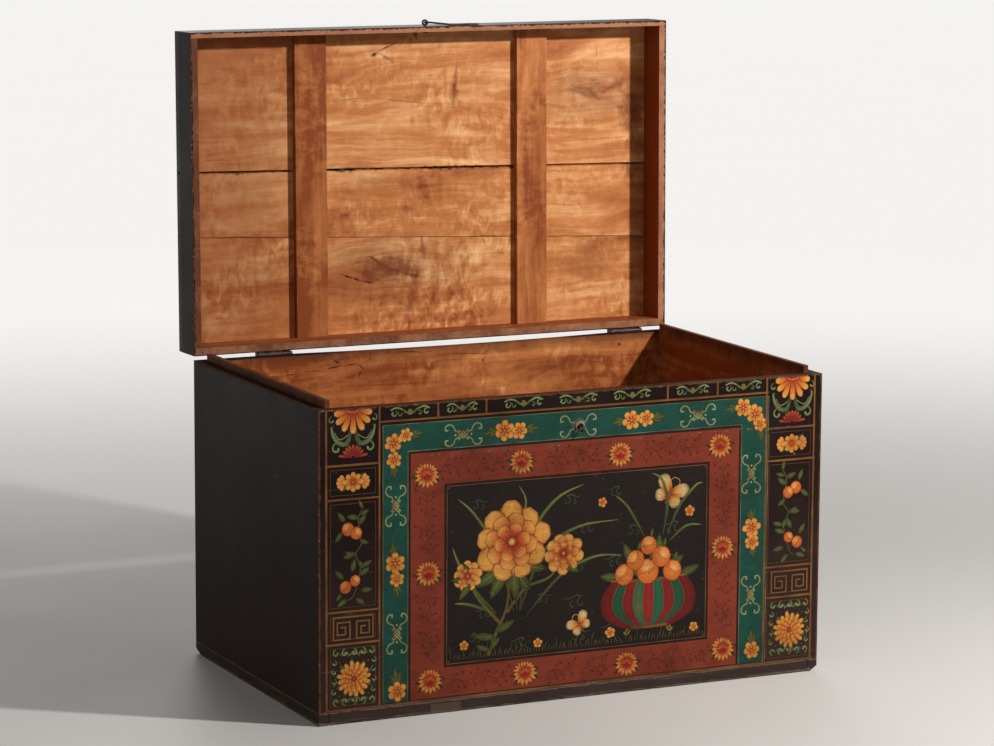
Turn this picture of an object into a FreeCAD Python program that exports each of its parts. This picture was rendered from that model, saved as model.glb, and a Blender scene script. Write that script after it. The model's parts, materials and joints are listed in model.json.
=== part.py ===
import FreeCAD, Part
import math
import os

# A painted camphor-wood trunk, built of finger-jointed boards, with its lid standing open.
# Lengths are in millimetres and angles in degrees. X runs across the front, Y from the
# front to the back, and Z up. The origin is on the floor, under the middle of the space
# that the open trunk fills.

# Case: four finger-jointed walls, each of an upper and a lower board
case_width = 880.0
case_depth = 530.0
case_height = 492.0
front_thickness = 16.0
back_thickness = 16.0
side_thickness = 25.0
lip_thickness = 8.0
lip_height = 12.0
front_joint_drop = 82.0
back_joint_drop = 175.0
side_joint_drop = 210.0
case_fingers = 37
back_edge_wear = 3.0

# Base frame of four rails, worn at two corners and patched in front
base_height = 20.0
rail_thickness = 16.0
front_rail_lift = 2.0
rail_end_gap = 1.0
rear_wear_length = 26.0
rear_wear_height = 8.0
front_wear_length = 30.0
front_wear_width = 13.0
front_wear_height = 9.0
patch_inset = 213.0
patch_width = 52.0
patch_height = 14.0
patch_depth = 10.0
patch_proud = 0.6

# Bottom boards on three battens
bottom_thickness = 12.0
bottom_board_gap = 1.0
bottom_board_count = 3
bottom_batten_width = 45.0
bottom_batten_thickness = 16.0
bottom_batten_inset = 150.0

# Lid: a finger-jointed rim, three ship-lapped boards and two battens
lid_side_setback = 3.0
seam_gap = 0.5
rim_height = 56.0
rim_front_thickness = 9.0
rim_rear_thickness = 13.0
rim_side_thickness = 13.0
rim_fingers = 5
lid_board_thickness = 14.0
rear_board_left_width = 190.0
rear_board_right_width = 152.0
middle_board_left_width = 107.0
middle_board_right_width = 128.0
rear_joint_gap = 1.0
front_joint_gap = 4.0
outer_seam_gap = 0.5
board_lap = 8.0
lid_batten_width = 56.0
lid_batten_thickness = 12.0
left_batten_inset = 232.0
right_batten_inset = 239.0

# Hinges: two iron leaves each, three knuckles on a pin, with a heel that stops the lid
open_angle = 91.0
hinge_width = 60.0
hinge_left_inset = 144.0
hinge_right_inset = 81.0
leaf_length = 36.0
leaf_thickness = 2.0
knuckle_radius = 4.5
barrel_back_gap = 0.3
middle_knuckle_width = 24.0
knuckle_end_gap = 0.3
knuckle_side_gap = 0.5
hinge_pin_radius = 2.2
hinge_pin_fit = 0.05
pin_head_radius = 3.2
pin_head_height = 1.5
stop_gap = 0.2
heel_reach = 5.0
nail_width = 2.6
nail_head_radius = 3.0
nail_head_height = 1.2
nail_grip = 9.0
nail_spacing = 20.0
nail_rise = 18.0
nail_zigzag = 9.0

# Hasp on a split eye in the lid, and the split staple that it drops over
eye_offset = -10.0
eye_rise = 20.0
eye_ring_radius = 3.9
eye_wire_radius = 1.6
eye_shank_radius = 2.0
eye_shank_fit = 0.08
eye_seat_gap = 0.4
tail_length = 11.0
tail_radius = 1.3
hasp_ring_radius = 4.2
hasp_wire_radius = 1.6
hasp_width = 14.0
hasp_thickness = 3.0
hasp_neck_width = 6.0
hasp_neck_length = 14.0
hasp_bend_length = 44.0
hasp_end_margin = 15.0
slot_width = 9.0
slot_length = 24.0
hasp_rest_gap = 0.5
hasp_rest_slope = 10.0
staple_offset = 3.0
staple_drop = 57.0
staple_ring_radius = 5.2
staple_wire_radius = 1.6
staple_seat_gap = 0.3

# Bamboo pegs, whittled to eight sides as the wire and the nail heads are hammered to eight
bar_side_count = 8
ring_side_count = 20
peg_radius = 2.0
peg_bite = 18.0
rail_across_peg_count = 4
rail_deep_peg_count = 3
rim_peg_count = 5
board_peg_share = 0.25

# One overrun for every cut that has to pass right through
overrun = 5.0

# Planes of the case
half_width = case_width / 2
lid_height = rim_height + lid_board_thickness
barrel_offset = knuckle_radius + barrel_back_gap
opening_turn = math.radians(open_angle)
lid_front_reach = case_depth + barrel_offset
lid_back_reach = (seam_gap / 2 + lid_height) * math.sin(opening_turn)
lid_back_reach -= lid_front_reach * math.cos(opening_turn)
staple_reach = 2 * (staple_ring_radius + staple_wire_radius) + staple_seat_gap
front_y = -(case_depth + barrel_offset + lid_back_reach - staple_reach) / 2
back_y = front_y + case_depth
inner_front_y = front_y + front_thickness
inner_back_y = back_y - back_thickness
inner_half_width = half_width - side_thickness
hinge_y = back_y + barrel_offset
hinge_z = case_height + seam_gap / 2

# Planes of the closed lid
rim_bottom = case_height + seam_gap
rim_top = rim_bottom + rim_height
lid_top = rim_top + lid_board_thickness
lid_half_width = half_width - lid_side_setback
rim_inner_front_y = front_y + rim_front_thickness
rim_inner_rear_y = back_y - rim_rear_thickness
rim_inner_half_width = lid_half_width - rim_side_thickness

X = FreeCAD.Vector(1, 0, 0)
Y = FreeCAD.Vector(0, 1, 0)
Z = FreeCAD.Vector(0, 0, 1)
nodes = {}


def at(x, y, z):
    return FreeCAD.Vector(x, y, z)


def block(x0, x1, y0, y1, z0, z1):
    return Part.makeBox(x1 - x0, y1 - y0, z1 - z0, at(x0, y0, z0))


def prism(points, direction):
    return Part.Face(Part.makePolygon(points + points[:1])).extrude(direction)


def octagon(centre, half_width, u, v):
    """The corners of an eight-sided section, measured from its middle to its flats."""
    corner = half_width / math.cos(math.pi / bar_side_count)
    turns = [math.pi * (2 * i + 1) / bar_side_count for i in range(bar_side_count)]
    return [centre + u * (corner * math.cos(turn)) + v * (corner * math.sin(turn)) for turn in turns]


def bar(start, half_width, along, length):
    """An eight-sided bar from a point, along one of the three directions."""
    side = FreeCAD.Vector(along.y, along.z, along.x)
    return prism(octagon(start, half_width, side, along.cross(side)), along * length)


def wire_ring(centre, ring, wire, axis):
    """A closed ring about an axis, hammered from eight-sided wire in short straight facets."""
    side = FreeCAD.Vector(axis.y, axis.z, axis.x)
    sections = []
    for i in range(ring_side_count):
        out = FreeCAD.Rotation(axis, 360 * i / ring_side_count).multVec(side)
        sections.append(octagon(centre + out * ring, wire, out, axis))
    facets = []
    for near, far in zip(sections, sections[1:] + sections[:1]):
        for a, b, c, d in zip(near, near[1:] + near[:1], far[1:] + far[:1], far):
            facets.append(Part.Face(Part.makePolygon([a, b, c, d, a])))
    shell = Part.makeShell(facets)
    shell.sewShape()
    return Part.makeSolid(shell)


def opened(shape):
    """The closed lid's piece, turned about the hinge pins to where it stands open."""
    turned = shape.copy()
    turned.rotate(at(0, hinge_y, hinge_z), X, -open_angle)
    return turned


def steps(low, high, count):
    size = (high - low) / count
    return [(low + i * size, low + (i + 1) * size) for i in range(count)]


def spread(low, high, count):
    """Places of a row of pegs: the middles of equal stretches from low to high."""
    return [(a + b) / 2 for a, b in steps(low, high, count)]


def corner_pockets(z_steps, first, xs, ys):
    """Every other finger's room at one corner, open to the outside of the corner."""
    pockets = [block(xs[0], xs[1], ys[0], ys[1], a, b) for a, b in z_steps[first::2]]
    return Part.makeCompound(pockets)


def finger_wall(wall, z_steps, first, corners):
    for xs, ys in corners:
        wall = wall.cut(corner_pockets(z_steps, first, xs, ys))
    return wall


def slab(wall, z0, z1):
    """The board of a wall that lies between two heights."""
    low = at(-case_width, front_y - case_depth, z0)
    return wall.common(Part.makeBox(2 * case_width, 3 * case_depth, z1 - z0, low))


def add_boards(name, wall, drop, top):
    split = case_height - drop
    nodes[name + "_upper"] = slab(wall, split, top)
    nodes[name + "_lower"] = slab(wall, base_height, split)


def ends_across(half, inner_half):
    return [(-half - overrun, -inner_half), (inner_half, half + overrun)]


def ends_deep(outer_front, inner_front, inner_rear, outer_rear):
    return [(outer_front - overrun, inner_front), (inner_rear, outer_rear + overrun)]


# Walls: the front and back hold the even fingers and the sides the odd ones
case_steps = steps(base_height, case_height, case_fingers)
across = ends_across(half_width, inner_half_width)
deep = ends_deep(front_y, inner_front_y, inner_back_y, back_y)

front_wall = block(-half_width, half_width, front_y, inner_front_y, base_height, case_height)
front_wall = finger_wall(front_wall, case_steps, 1, [(xs, deep[0]) for xs in across])
add_boards("front_board", front_wall, front_joint_drop, case_height)

back_wall = block(-half_width, half_width, inner_back_y, back_y, base_height, case_height)
back_wall = finger_wall(back_wall, case_steps, 1, [(xs, deep[1]) for xs in across])

# The back's top edge is worn hollow between the hinges
hollow_start = -half_width + hinge_left_inset + hinge_width / 2
hollow_end = half_width - hinge_right_inset - hinge_width / 2
hollow_middle = (hollow_start + hollow_end) / 2
hollow_arc = Part.Arc(
    at(hollow_start, inner_back_y - overrun, case_height),
    at(hollow_middle, inner_back_y - overrun, case_height - back_edge_wear),
    at(hollow_end, inner_back_y - overrun, case_height),
).toShape()
hollow_chord = Part.makeLine(hollow_arc.Vertexes[1].Point, hollow_arc.Vertexes[0].Point)
hollow_face = Part.Face(Part.Wire([hollow_arc, hollow_chord]))
back_wall = back_wall.cut(hollow_face.extrude(Y * (back_thickness + 2 * overrun)))
add_boards("back_board", back_wall, back_joint_drop, case_height)


def side_wall(side):
    """A side of the case, with the lip inside its top edge that keeps the lid in place."""
    inner, outer = sorted((side * inner_half_width, side * half_width))
    wall = block(inner, outer, front_y, back_y, base_height, case_height)
    ends = sorted((side * inner_half_width, side * (half_width + overrun)))
    wall = finger_wall(wall, case_steps, 0, [(ends, ys) for ys in deep])
    lip = sorted((side * inner_half_width, side * (inner_half_width + lip_thickness)))
    lip_top = case_height + lip_height
    strip = block(lip[0], lip[1], inner_front_y, inner_back_y, case_height, lip_top)
    return wall.fuse(strip).removeSplitter()


for name, side in (("left_side", -1), ("right_side", 1)):
    add_boards(name, side_wall(side), side_joint_drop, case_height + lip_height)


# Base frame: the side rails run through, and the front and back rails stand between them
def rail_block(x_ends, y_ends, z0):
    return block(x_ends[0], x_ends[1], y_ends[0], y_ends[1], z0, base_height)


def worn_corner(x, y, across, along, height):
    """A bottom corner that dragging has worn away, as far along each of its three edges."""
    corner = at(x, y, 0)
    ends = [at(x + across, y, 0), at(x, y + along, 0), at(x, y, height)]
    sides = [[corner, ends[0], ends[1]], [corner, ends[1], ends[2]], [corner, ends[2], ends[0]], ends]
    faces = [Part.Face(Part.makePolygon(side + side[:1])) for side in sides]
    return Part.makeSolid(Part.makeShell(faces))


rail_half_width = half_width - rail_thickness
rail_front_inner_y = front_y + rail_thickness
rail_back_inner_y = back_y - rail_thickness
left_rail = rail_block((-half_width, -rail_half_width), (front_y, back_y), 0)
right_rail = rail_block((rail_half_width, half_width), (front_y, back_y), 0)
left_wear = (rail_thickness, -rear_wear_length, rear_wear_height)
right_wear = (-front_wear_width, front_wear_length, front_wear_height)
nodes["left_base_rail"] = left_rail.cut(worn_corner(-half_width, back_y, *left_wear))
nodes["right_base_rail"] = right_rail.cut(worn_corner(half_width, front_y, *right_wear))

rail_reach = rail_half_width - rail_end_gap
front_rail = rail_block((-rail_reach, rail_reach), (front_y, rail_front_inner_y), front_rail_lift)
nodes["back_base_rail"] = rail_block((-rail_reach, rail_reach), (rail_back_inner_y, back_y), 0)

# A block let into the front rail, where it was once repaired
patch_x = -half_width + patch_inset
patch_ends = (patch_x - patch_width / 2, patch_x + patch_width / 2)
patch_top = front_rail_lift + patch_height
patch_back = front_y + patch_depth
patch_seat = block(*patch_ends, front_y - overrun, patch_back, front_rail_lift - overrun, patch_top)
nodes["front_base_rail"] = front_rail.cut(patch_seat)
patch_front = front_y - patch_proud
nodes["base_patch"] = block(*patch_ends, patch_front, patch_back, front_rail_lift, patch_top)

# Bottom boards, pegged down to battens that run between the front and back rails
bottom_top = base_height + bottom_thickness
bottom_names = ("bottom_board_front", "bottom_board_middle", "bottom_board_back")
bottom_steps = steps(inner_front_y, inner_back_y, bottom_board_count)
for name, (y0, y1) in zip(bottom_names, bottom_steps):
    y0 += bottom_board_gap / 2
    y1 -= bottom_board_gap / 2
    nodes[name] = block(-inner_half_width, inner_half_width, y0, y1, base_height, bottom_top)

batten_reach = half_width - bottom_batten_inset
batten_half = bottom_batten_width / 2
batten_floor = base_height - bottom_batten_thickness
batten_places = {"left": -batten_reach, "middle": 0, "right": batten_reach}
for name, x in batten_places.items():
    x_ends = (x - batten_half, x + batten_half)
    y_ends = (rail_front_inner_y, rail_back_inner_y)
    nodes["bottom_batten_" + name] = block(*x_ends, *y_ends, batten_floor, base_height)

# Lid rim: the front and rear hold the outer fingers and the sides the middle one
rim_steps = steps(rim_bottom, rim_top, rim_fingers)
rim_across = ends_across(lid_half_width, rim_inner_half_width)
rim_deep = ends_deep(front_y, rim_inner_front_y, rim_inner_rear_y, back_y)
rims = {
    "lid_rim_front": ((-lid_half_width, lid_half_width), (front_y, rim_inner_front_y)),
    "lid_rim_rear": ((-lid_half_width, lid_half_width), (rim_inner_rear_y, back_y)),
    "lid_rim_left": ((-lid_half_width, -rim_inner_half_width), (front_y, back_y)),
    "lid_rim_right": ((rim_inner_half_width, lid_half_width), (front_y, back_y)),
}
rim_corners = {
    "lid_rim_front": [(xs, rim_deep[0]) for xs in rim_across],
    "lid_rim_rear": [(xs, rim_deep[1]) for xs in rim_across],
    "lid_rim_left": [(rim_across[0], ys) for ys in rim_deep],
    "lid_rim_right": [(rim_across[1], ys) for ys in rim_deep],
}
lid = {}
for name, (x_ends, y_ends) in rims.items():
    first = 1 if name in ("lid_rim_front", "lid_rim_rear") else 0
    rim = block(*x_ends, *y_ends, rim_bottom, rim_top)
    lid[name] = finger_wall(rim, rim_steps, first, rim_corners[name])

# Lid boards: tapered planks whose upper halves lap over the next plank towards the front
rear_joint = (rear_board_left_width, rear_board_right_width)
front_joint = (
    rear_board_left_width + middle_board_left_width,
    rear_board_right_width + middle_board_right_width,
)


def board_layer(rear, front, z0, z1):
    """A tapered plank between two lines, each measured from the back at its two ends."""
    corners = [
        at(-lid_half_width, back_y - rear[0], z0),
        at(lid_half_width, back_y - rear[1], z0),
        at(lid_half_width, back_y - front[1], z0),
        at(-lid_half_width, back_y - front[0], z0),
    ]
    return prism(corners, Z * (z1 - z0))


def moved(joint, distance):
    return (joint[0] + distance, joint[1] + distance)


def lid_board(rear, rear_gap, front, front_gap):
    """One plank; a joint of None is the lid's own edge."""
    back_edge = (0, 0)
    front_edge = (case_depth, case_depth)
    lap_z = rim_top + lid_board_thickness / 2
    seam = outer_seam_gap / 2
    low_rear = moved(rear, rear_gap / 2) if rear else back_edge
    low_front = moved(front, -front_gap / 2) if front else front_edge
    high_rear = moved(rear, board_lap + seam) if rear else back_edge
    high_front = moved(front, board_lap - seam) if front else front_edge
    low = board_layer(low_rear, low_front, rim_top, lap_z)
    high = board_layer(high_rear, high_front, lap_z, lid_top)
    return low.fuse(high).removeSplitter()


lid["lid_board_rear"] = lid_board(None, 0, rear_joint, rear_joint_gap)
lid["lid_board_middle"] = lid_board(rear_joint, rear_joint_gap, front_joint, front_joint_gap)
lid["lid_board_front"] = lid_board(front_joint, front_joint_gap, None, 0)

# Lid battens, across the boards from rim to rim
lid_batten_bottom = rim_top - lid_batten_thickness
lid_batten_half = lid_batten_width / 2
lid_battens = {
    "lid_batten_left": -half_width + left_batten_inset,
    "lid_batten_right": half_width - right_batten_inset,
}
for name, x in lid_battens.items():
    x_ends = (x - lid_batten_half, x + lid_batten_half)
    y_ends = (rim_inner_front_y, rim_inner_rear_y)
    lid[name] = block(*x_ends, *y_ends, lid_batten_bottom, rim_top)


# Hinges: the case leaf holds the outer knuckles and the pin, the lid leaf the middle one
def hinge(name, x):
    left, right = x - hinge_width / 2, x + hinge_width / 2
    middle = (x - middle_knuckle_width / 2, x + middle_knuckle_width / 2)
    outers = ((left, middle[0] - knuckle_end_gap), (middle[1] + knuckle_end_gap, right))
    leaf_back_y = back_y + leaf_thickness
    barrel_edge = knuckle_radius + knuckle_side_gap

    def barrel(radius, ends):
        return Part.makeCylinder(radius, ends[1] - ends[0], at(ends[0], hinge_y, hinge_z), X)

    def leaf_plate(x_ends, z0, z1):
        return block(*x_ends, back_y, leaf_back_y, hinge_z + z0, hinge_z + z1)

    def heel(ends):
        """The tongue behind an outer knuckle that the lid's leaf lands on."""
        low_y = leaf_back_y + stop_gap
        high_z = hinge_z + barrel_edge + heel_reach
        return opened(block(*ends, low_y, hinge_y + knuckle_radius, hinge_z, high_z))

    case_leaf = leaf_plate((left, right), -leaf_length, -barrel_edge)
    for ends in outers:
        ear = leaf_plate(ends, -barrel_edge, 0)
        case_leaf = case_leaf.fuse([ear, barrel(knuckle_radius, ends), heel(ends)])
    case_bore = barrel(hinge_pin_radius, (left - overrun, right + overrun))
    nodes[name + "_case_leaf"] = case_leaf.removeSplitter().cut(case_bore)

    lid_leaf = leaf_plate((left, right), barrel_edge, leaf_length)
    lid_leaf = lid_leaf.fuse([leaf_plate(middle, 0, barrel_edge), barrel(knuckle_radius, middle)])
    lid_bore = barrel(hinge_pin_radius + hinge_pin_fit, (left, right))
    lid[name + "_lid_leaf"] = lid_leaf.removeSplitter().cut(lid_bore)

    pin = barrel(hinge_pin_radius, (left, right))
    heads = []
    for end in (left - pin_head_height, right):
        heads.append(bar(at(end, hinge_y, hinge_z), pin_head_radius, X, pin_head_height))
    nodes[name + "_pin"] = pin.fuse(heads)


hinge_places = {
    "left_hinge": -half_width + hinge_left_inset,
    "right_hinge": half_width - hinge_right_inset,
}
for name, x in hinge_places.items():
    hinge(name, x)


# Hinge nails: three through each leaf, the middle one further from the barrel
def leaf_nail(x, z):
    """A wrought nail with a square shank and an eight-sided head."""
    outer = back_y + leaf_thickness
    half = nail_width / 2
    shank = block(x - half, x + half, back_y - nail_grip, outer, z - half, z + half)
    return shank.fuse(bar(at(x, outer, z), nail_head_radius, Y, nail_head_height))


def leaf_nails(direction):
    nails = []
    for hinge_x in hinge_places.values():
        for place in (-1, 0, 1):
            rise = nail_rise + (nail_zigzag if place == 0 else 0)
            nails.append(leaf_nail(hinge_x + place * nail_spacing, hinge_z + direction * rise))
    return nails


def drill(group, names, cutters):
    holes = Part.makeCompound(cutters)
    for name in names:
        group[name] = group[name].cut(holes)


case_nails = leaf_nails(-1)
lid_nails = leaf_nails(1)
drill(nodes, ["left_hinge_case_leaf", "right_hinge_case_leaf", "back_board_upper"], case_nails)
drill(lid, ["left_hinge_lid_leaf", "right_hinge_lid_leaf", "lid_rim_rear"], lid_nails)
nodes["hinge_nails_case"] = Part.makeCompound(case_nails)
lid["hinge_nails_lid"] = Part.makeCompound(lid_nails)


# Split eyes: a ring of iron wire, a shank through the board, and tails bent flat inside
def round_bar(start, radius, along, length):
    return Part.makeCylinder(radius, length, start, along)


def split_eye(centre, board_inner_y, ring, wire, tail_gap, shank):
    """The shank is a bar where it is driven in, and a round_bar where it turns."""
    eye = wire_ring(centre, ring, wire, X)
    tail_y = board_inner_y + tail_gap + tail_radius
    shank_foot = centre + Y * ring
    eye = eye.fuse(shank(shank_foot, eye_shank_radius, Y, tail_y - shank_foot.y))
    tails_end = at(centre.x - tail_length, tail_y, centre.z)
    return eye.fuse(bar(tails_end, tail_radius, X, 2 * tail_length))


def shank_hole(centre, board, radius, shank):
    return shank(at(centre.x, front_y - overrun, centre.z), radius, Y, board + 2 * overrun)


staple_standoff = staple_ring_radius + staple_wire_radius + staple_seat_gap
staple_z = case_height - staple_drop
staple_centre = at(staple_offset, front_y - staple_standoff, staple_z)
staple_hole = shank_hole(staple_centre, front_thickness, eye_shank_radius, bar)
drill(nodes, ["front_board_upper"], [staple_hole])
nodes["front_staple"] = split_eye(
    staple_centre, inner_front_y, staple_ring_radius, staple_wire_radius, 0, bar
)

# The hasp's eye turns in its hole, so its shank runs free and its tails clear the rim
eye_standoff = eye_ring_radius + eye_wire_radius + eye_seat_gap
eye_z = rim_bottom + eye_rise
eye_centre = at(eye_offset, front_y - eye_standoff, eye_z)
eye_hole = shank_hole(eye_centre, rim_front_thickness, eye_shank_radius + eye_shank_fit, round_bar)
drill(lid, ["lid_rim_front"], [eye_hole])
hasp_eye = split_eye(
    eye_centre, rim_inner_front_y, eye_ring_radius, eye_wire_radius, eye_seat_gap, round_bar
)

# Hasp, hanging from the eye's centre: a ring, a neck bent inwards, and a slotted strap
hasp_reach = math.hypot(staple_offset - eye_offset, eye_z - staple_z)
hasp_length = hasp_reach + hasp_end_margin
strap_top = -2 * hasp_ring_radius
strap_shoulder = strap_top - hasp_neck_length
strap_inner_y = eye_standoff - hasp_rest_gap
strap_outer_y = strap_inner_y - hasp_thickness


def strap_outline():
    """The strap seen from the front: a neck that widens to a strap with a round end."""
    half_neck = hasp_neck_width / 2
    half = hasp_width / 2
    round_z = half - hasp_length
    front = -eye_standoff
    left = [at(-half_neck, front, strap_top), at(-half, front, strap_shoulder), at(-half, front, round_z)]
    right = [at(half, front, round_z), at(half, front, strap_shoulder), at(half_neck, front, strap_top)]
    tip = Part.Arc(left[-1], at(0, front, -hasp_length), right[0]).toShape()
    sides = Part.makePolygon(left).Edges + Part.makePolygon(right + left[:1]).Edges
    outline = Part.Wire(Part.__sortEdges__(sides + [tip]))
    return Part.Face(outline).extrude(Y * (2 * eye_standoff))


def strap_profile():
    """The strap seen from the side: from the ring's middle down to the rim's face, then flat."""
    low_x = -hasp_width / 2
    half = hasp_thickness / 2
    inner = [at(low_x, half, strap_top), at(low_x, strap_inner_y, -hasp_bend_length)]
    inner.append(at(low_x, strap_inner_y, -hasp_length))
    outer = [at(low_x, strap_outer_y, -hasp_length), at(low_x, strap_outer_y, -hasp_bend_length)]
    outer.append(at(low_x, -half, strap_top))
    return prism(inner + outer, X * hasp_width)


def hasp_slot():
    straight = (slot_length - slot_width) / 2
    half = slot_width / 2
    depth = 2 * eye_standoff
    slot = block(-half, half, -eye_standoff, eye_standoff, -straight, straight)
    for z in (-straight, straight):
        slot = slot.fuse(Part.makeCylinder(half, depth, at(0, -eye_standoff, z), Y))
    slot.translate(at(0, 0, -hasp_reach))
    return slot


strap = strap_outline().common(strap_profile()).cut(hasp_slot())
hasp_ring = wire_ring(at(0, 0, -hasp_ring_radius), hasp_ring_radius, hasp_wire_radius, Y)
hasp = strap.fuse(hasp_ring).removeSplitter()

# At rest the eye is turned so that the strap lies along the rim, sloping a little to its edge
rest_turn = 90 - hasp_rest_slope
hasp.translate(eye_centre)
hasp.rotate(eye_centre, Y, -rest_turn)
hasp_eye.rotate(eye_centre, Y, -rest_turn)
lid["hasp_eye"] = hasp_eye
lid["hasp"] = hasp


# Bamboo pegs: base rails up into the walls, bottom boards down into the battens
def upright_peg(x, y, z0, z1):
    return bar(at(x, y, z0), peg_radius, Z, z1 - z0)


rail_middle = rail_thickness / 2
peg_top = base_height + peg_bite
base_pegs = []
for x in spread(-rail_reach, rail_reach, rail_across_peg_count):
    base_pegs.append(upright_peg(x, front_y + rail_middle, front_rail_lift, peg_top))
    base_pegs.append(upright_peg(x, back_y - rail_middle, 0, peg_top))
for y in spread(inner_front_y, inner_back_y, rail_deep_peg_count):
    for x in (-half_width + rail_middle, half_width - rail_middle):
        base_pegs.append(upright_peg(x, y, 0, peg_top))
base = [name for name in nodes if "base" in name]
lower_boards = [name for name in nodes if name.endswith("_lower")]
drill(nodes, base + lower_boards, base_pegs)
nodes["base_pegs"] = Part.makeCompound(base_pegs)

bottom_pegs = []
for x in batten_places.values():
    for y0, y1 in bottom_steps:
        bottom_pegs.append(upright_peg(x, (y0 + y1) / 2, batten_floor, bottom_top))
drill(nodes, [name for name in nodes if name.startswith("bottom_b")], bottom_pegs)
nodes["bottom_pegs"] = Part.makeCompound(bottom_pegs)

# Pegs that hold the lid boards down to the rim: two at each board's ends, a row front and rear
board_ends = (
    ((0, 0), rear_joint),
    (rear_joint, front_joint),
    (front_joint, (case_depth, case_depth)),
)
lid_pegs = []
rim_peg_bottom = rim_top - peg_bite
side_peg_x = lid_half_width - rim_side_thickness / 2
for rear, front in board_ends:
    for share in (board_peg_share, 1 - board_peg_share):
        for end, x in enumerate((-side_peg_x, side_peg_x)):
            reach = rear[end] + share * (front[end] - rear[end])
            lid_pegs.append(upright_peg(x, back_y - reach, rim_peg_bottom, lid_top))
for x in spread(-rim_inner_half_width, rim_inner_half_width, rim_peg_count):
    for y in (front_y + rim_front_thickness / 2, back_y - rim_rear_thickness / 2):
        lid_pegs.append(upright_peg(x, y, rim_peg_bottom, lid_top))
pegged = [name for name in lid if name.startswith("lid_rim") or name.startswith("lid_board")]
drill(lid, pegged, lid_pegs)
lid["lid_pegs"] = Part.makeCompound(lid_pegs)

for name, shape in lid.items():
    nodes[name] = opened(shape)

os.makedirs("parts", exist_ok=True)
for name, shape in nodes.items():
    shape.exportStep("parts/" + name + ".step")
print(len(nodes), "nodes written")
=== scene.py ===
import json
import math
import random

import bpy
from mathutils import Matrix, Vector


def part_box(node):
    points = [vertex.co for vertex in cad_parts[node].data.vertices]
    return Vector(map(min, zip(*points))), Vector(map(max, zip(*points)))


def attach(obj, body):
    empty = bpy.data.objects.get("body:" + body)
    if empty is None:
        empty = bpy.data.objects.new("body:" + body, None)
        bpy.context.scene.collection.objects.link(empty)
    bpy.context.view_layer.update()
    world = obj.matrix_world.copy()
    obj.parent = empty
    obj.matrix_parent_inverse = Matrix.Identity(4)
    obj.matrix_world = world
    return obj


# The trunk stands on the floor with its painted front towards -Y and its lid open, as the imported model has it.
# Its walls' planes, its hinge line and the lid's turn are read from there.
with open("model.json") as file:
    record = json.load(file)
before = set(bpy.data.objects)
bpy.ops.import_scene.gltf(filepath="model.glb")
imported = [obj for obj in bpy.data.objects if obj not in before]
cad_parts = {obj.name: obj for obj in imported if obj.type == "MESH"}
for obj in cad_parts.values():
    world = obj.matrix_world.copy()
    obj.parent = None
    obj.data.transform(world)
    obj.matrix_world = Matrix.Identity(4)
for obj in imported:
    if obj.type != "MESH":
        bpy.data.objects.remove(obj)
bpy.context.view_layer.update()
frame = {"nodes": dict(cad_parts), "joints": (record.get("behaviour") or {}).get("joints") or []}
mm = 0.001
case_low, case_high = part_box("left_side_lower")[0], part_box("right_side_lower")[1]
front_y, back_y = case_low.y, case_high.y
half_width = case_high.x
inner_half_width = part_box("right_side_lower")[0].x
inner_front_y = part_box("front_board_lower")[1].y
case_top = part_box("front_board_upper")[1].z
board_joint_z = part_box("front_board_lower")[1].z
rail_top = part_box("front_base_rail")[1].z
lid_joint = next(joint for joint in frame["joints"] if joint["name"] == "lid_hinge")
hinge_point = Vector(lid_joint["pos_m"])
lid_turn = math.radians(lid_joint["range_deg"][1])


# Camera: a long lens that looks down a little on the trunk from beyond its left front corner.
camera_place = (-2.5374, -5.3314, 1.4382)
camera_yaw = math.radians(25.466)
camera_pitch = math.radians(-9.252)
camera_roll = math.radians(0.313)
frame_width_px = 994
focal_px = 3655.6

camera = bpy.data.objects.new("camera", bpy.data.cameras.new("camera"))
bpy.context.scene.collection.objects.link(camera)
camera.data.sensor_fit = "HORIZONTAL"
camera.data.sensor_width = 36.0
camera.data.lens = focal_px / frame_width_px * camera.data.sensor_width
camera.matrix_world = (
    Matrix.Translation(camera_place)
    @ Matrix.Rotation(-camera_yaw, 4, "Z")
    @ Matrix.Rotation(math.pi / 2 + camera_pitch, 4, "X")
    @ Matrix.Rotation(camera_roll, 4, "Z")
)
bpy.context.scene.camera = camera


# Light: a small bright lamp at the right front, weak wide ones at the left front and behind the trunk, and a pale
# sky all round. A lamp is its place, its size and its power.
lamps = {
    "key_lamp": ((1.41, -1.70, 1.84), 0.13, 73.0),
    "fill_lamp": ((-2.6, -4.2, 1.9), 2.4, 17.0),
    "back_lamp": ((1.3, 4.6, 2.3), 2.6, 34.0),
}
lit_point = Vector((0.0, 0.1, 0.6))
sky_light = 0.17
sky_shown = 0.88
sky_mirrored = 0.3
sky_colour = (1.0, 0.99, 0.97)

for name, (place, size, power) in lamps.items():
    lamp = bpy.data.lights.new(name, "AREA")
    lamp.shape = "DISK"
    lamp.size = size
    lamp.energy = power
    item = bpy.data.objects.new(name, lamp)
    item.location = place
    item.rotation_euler = (lit_point - Vector(place)).to_track_quat("-Z", "Y").to_euler()
    bpy.context.scene.collection.objects.link(item)


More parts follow.
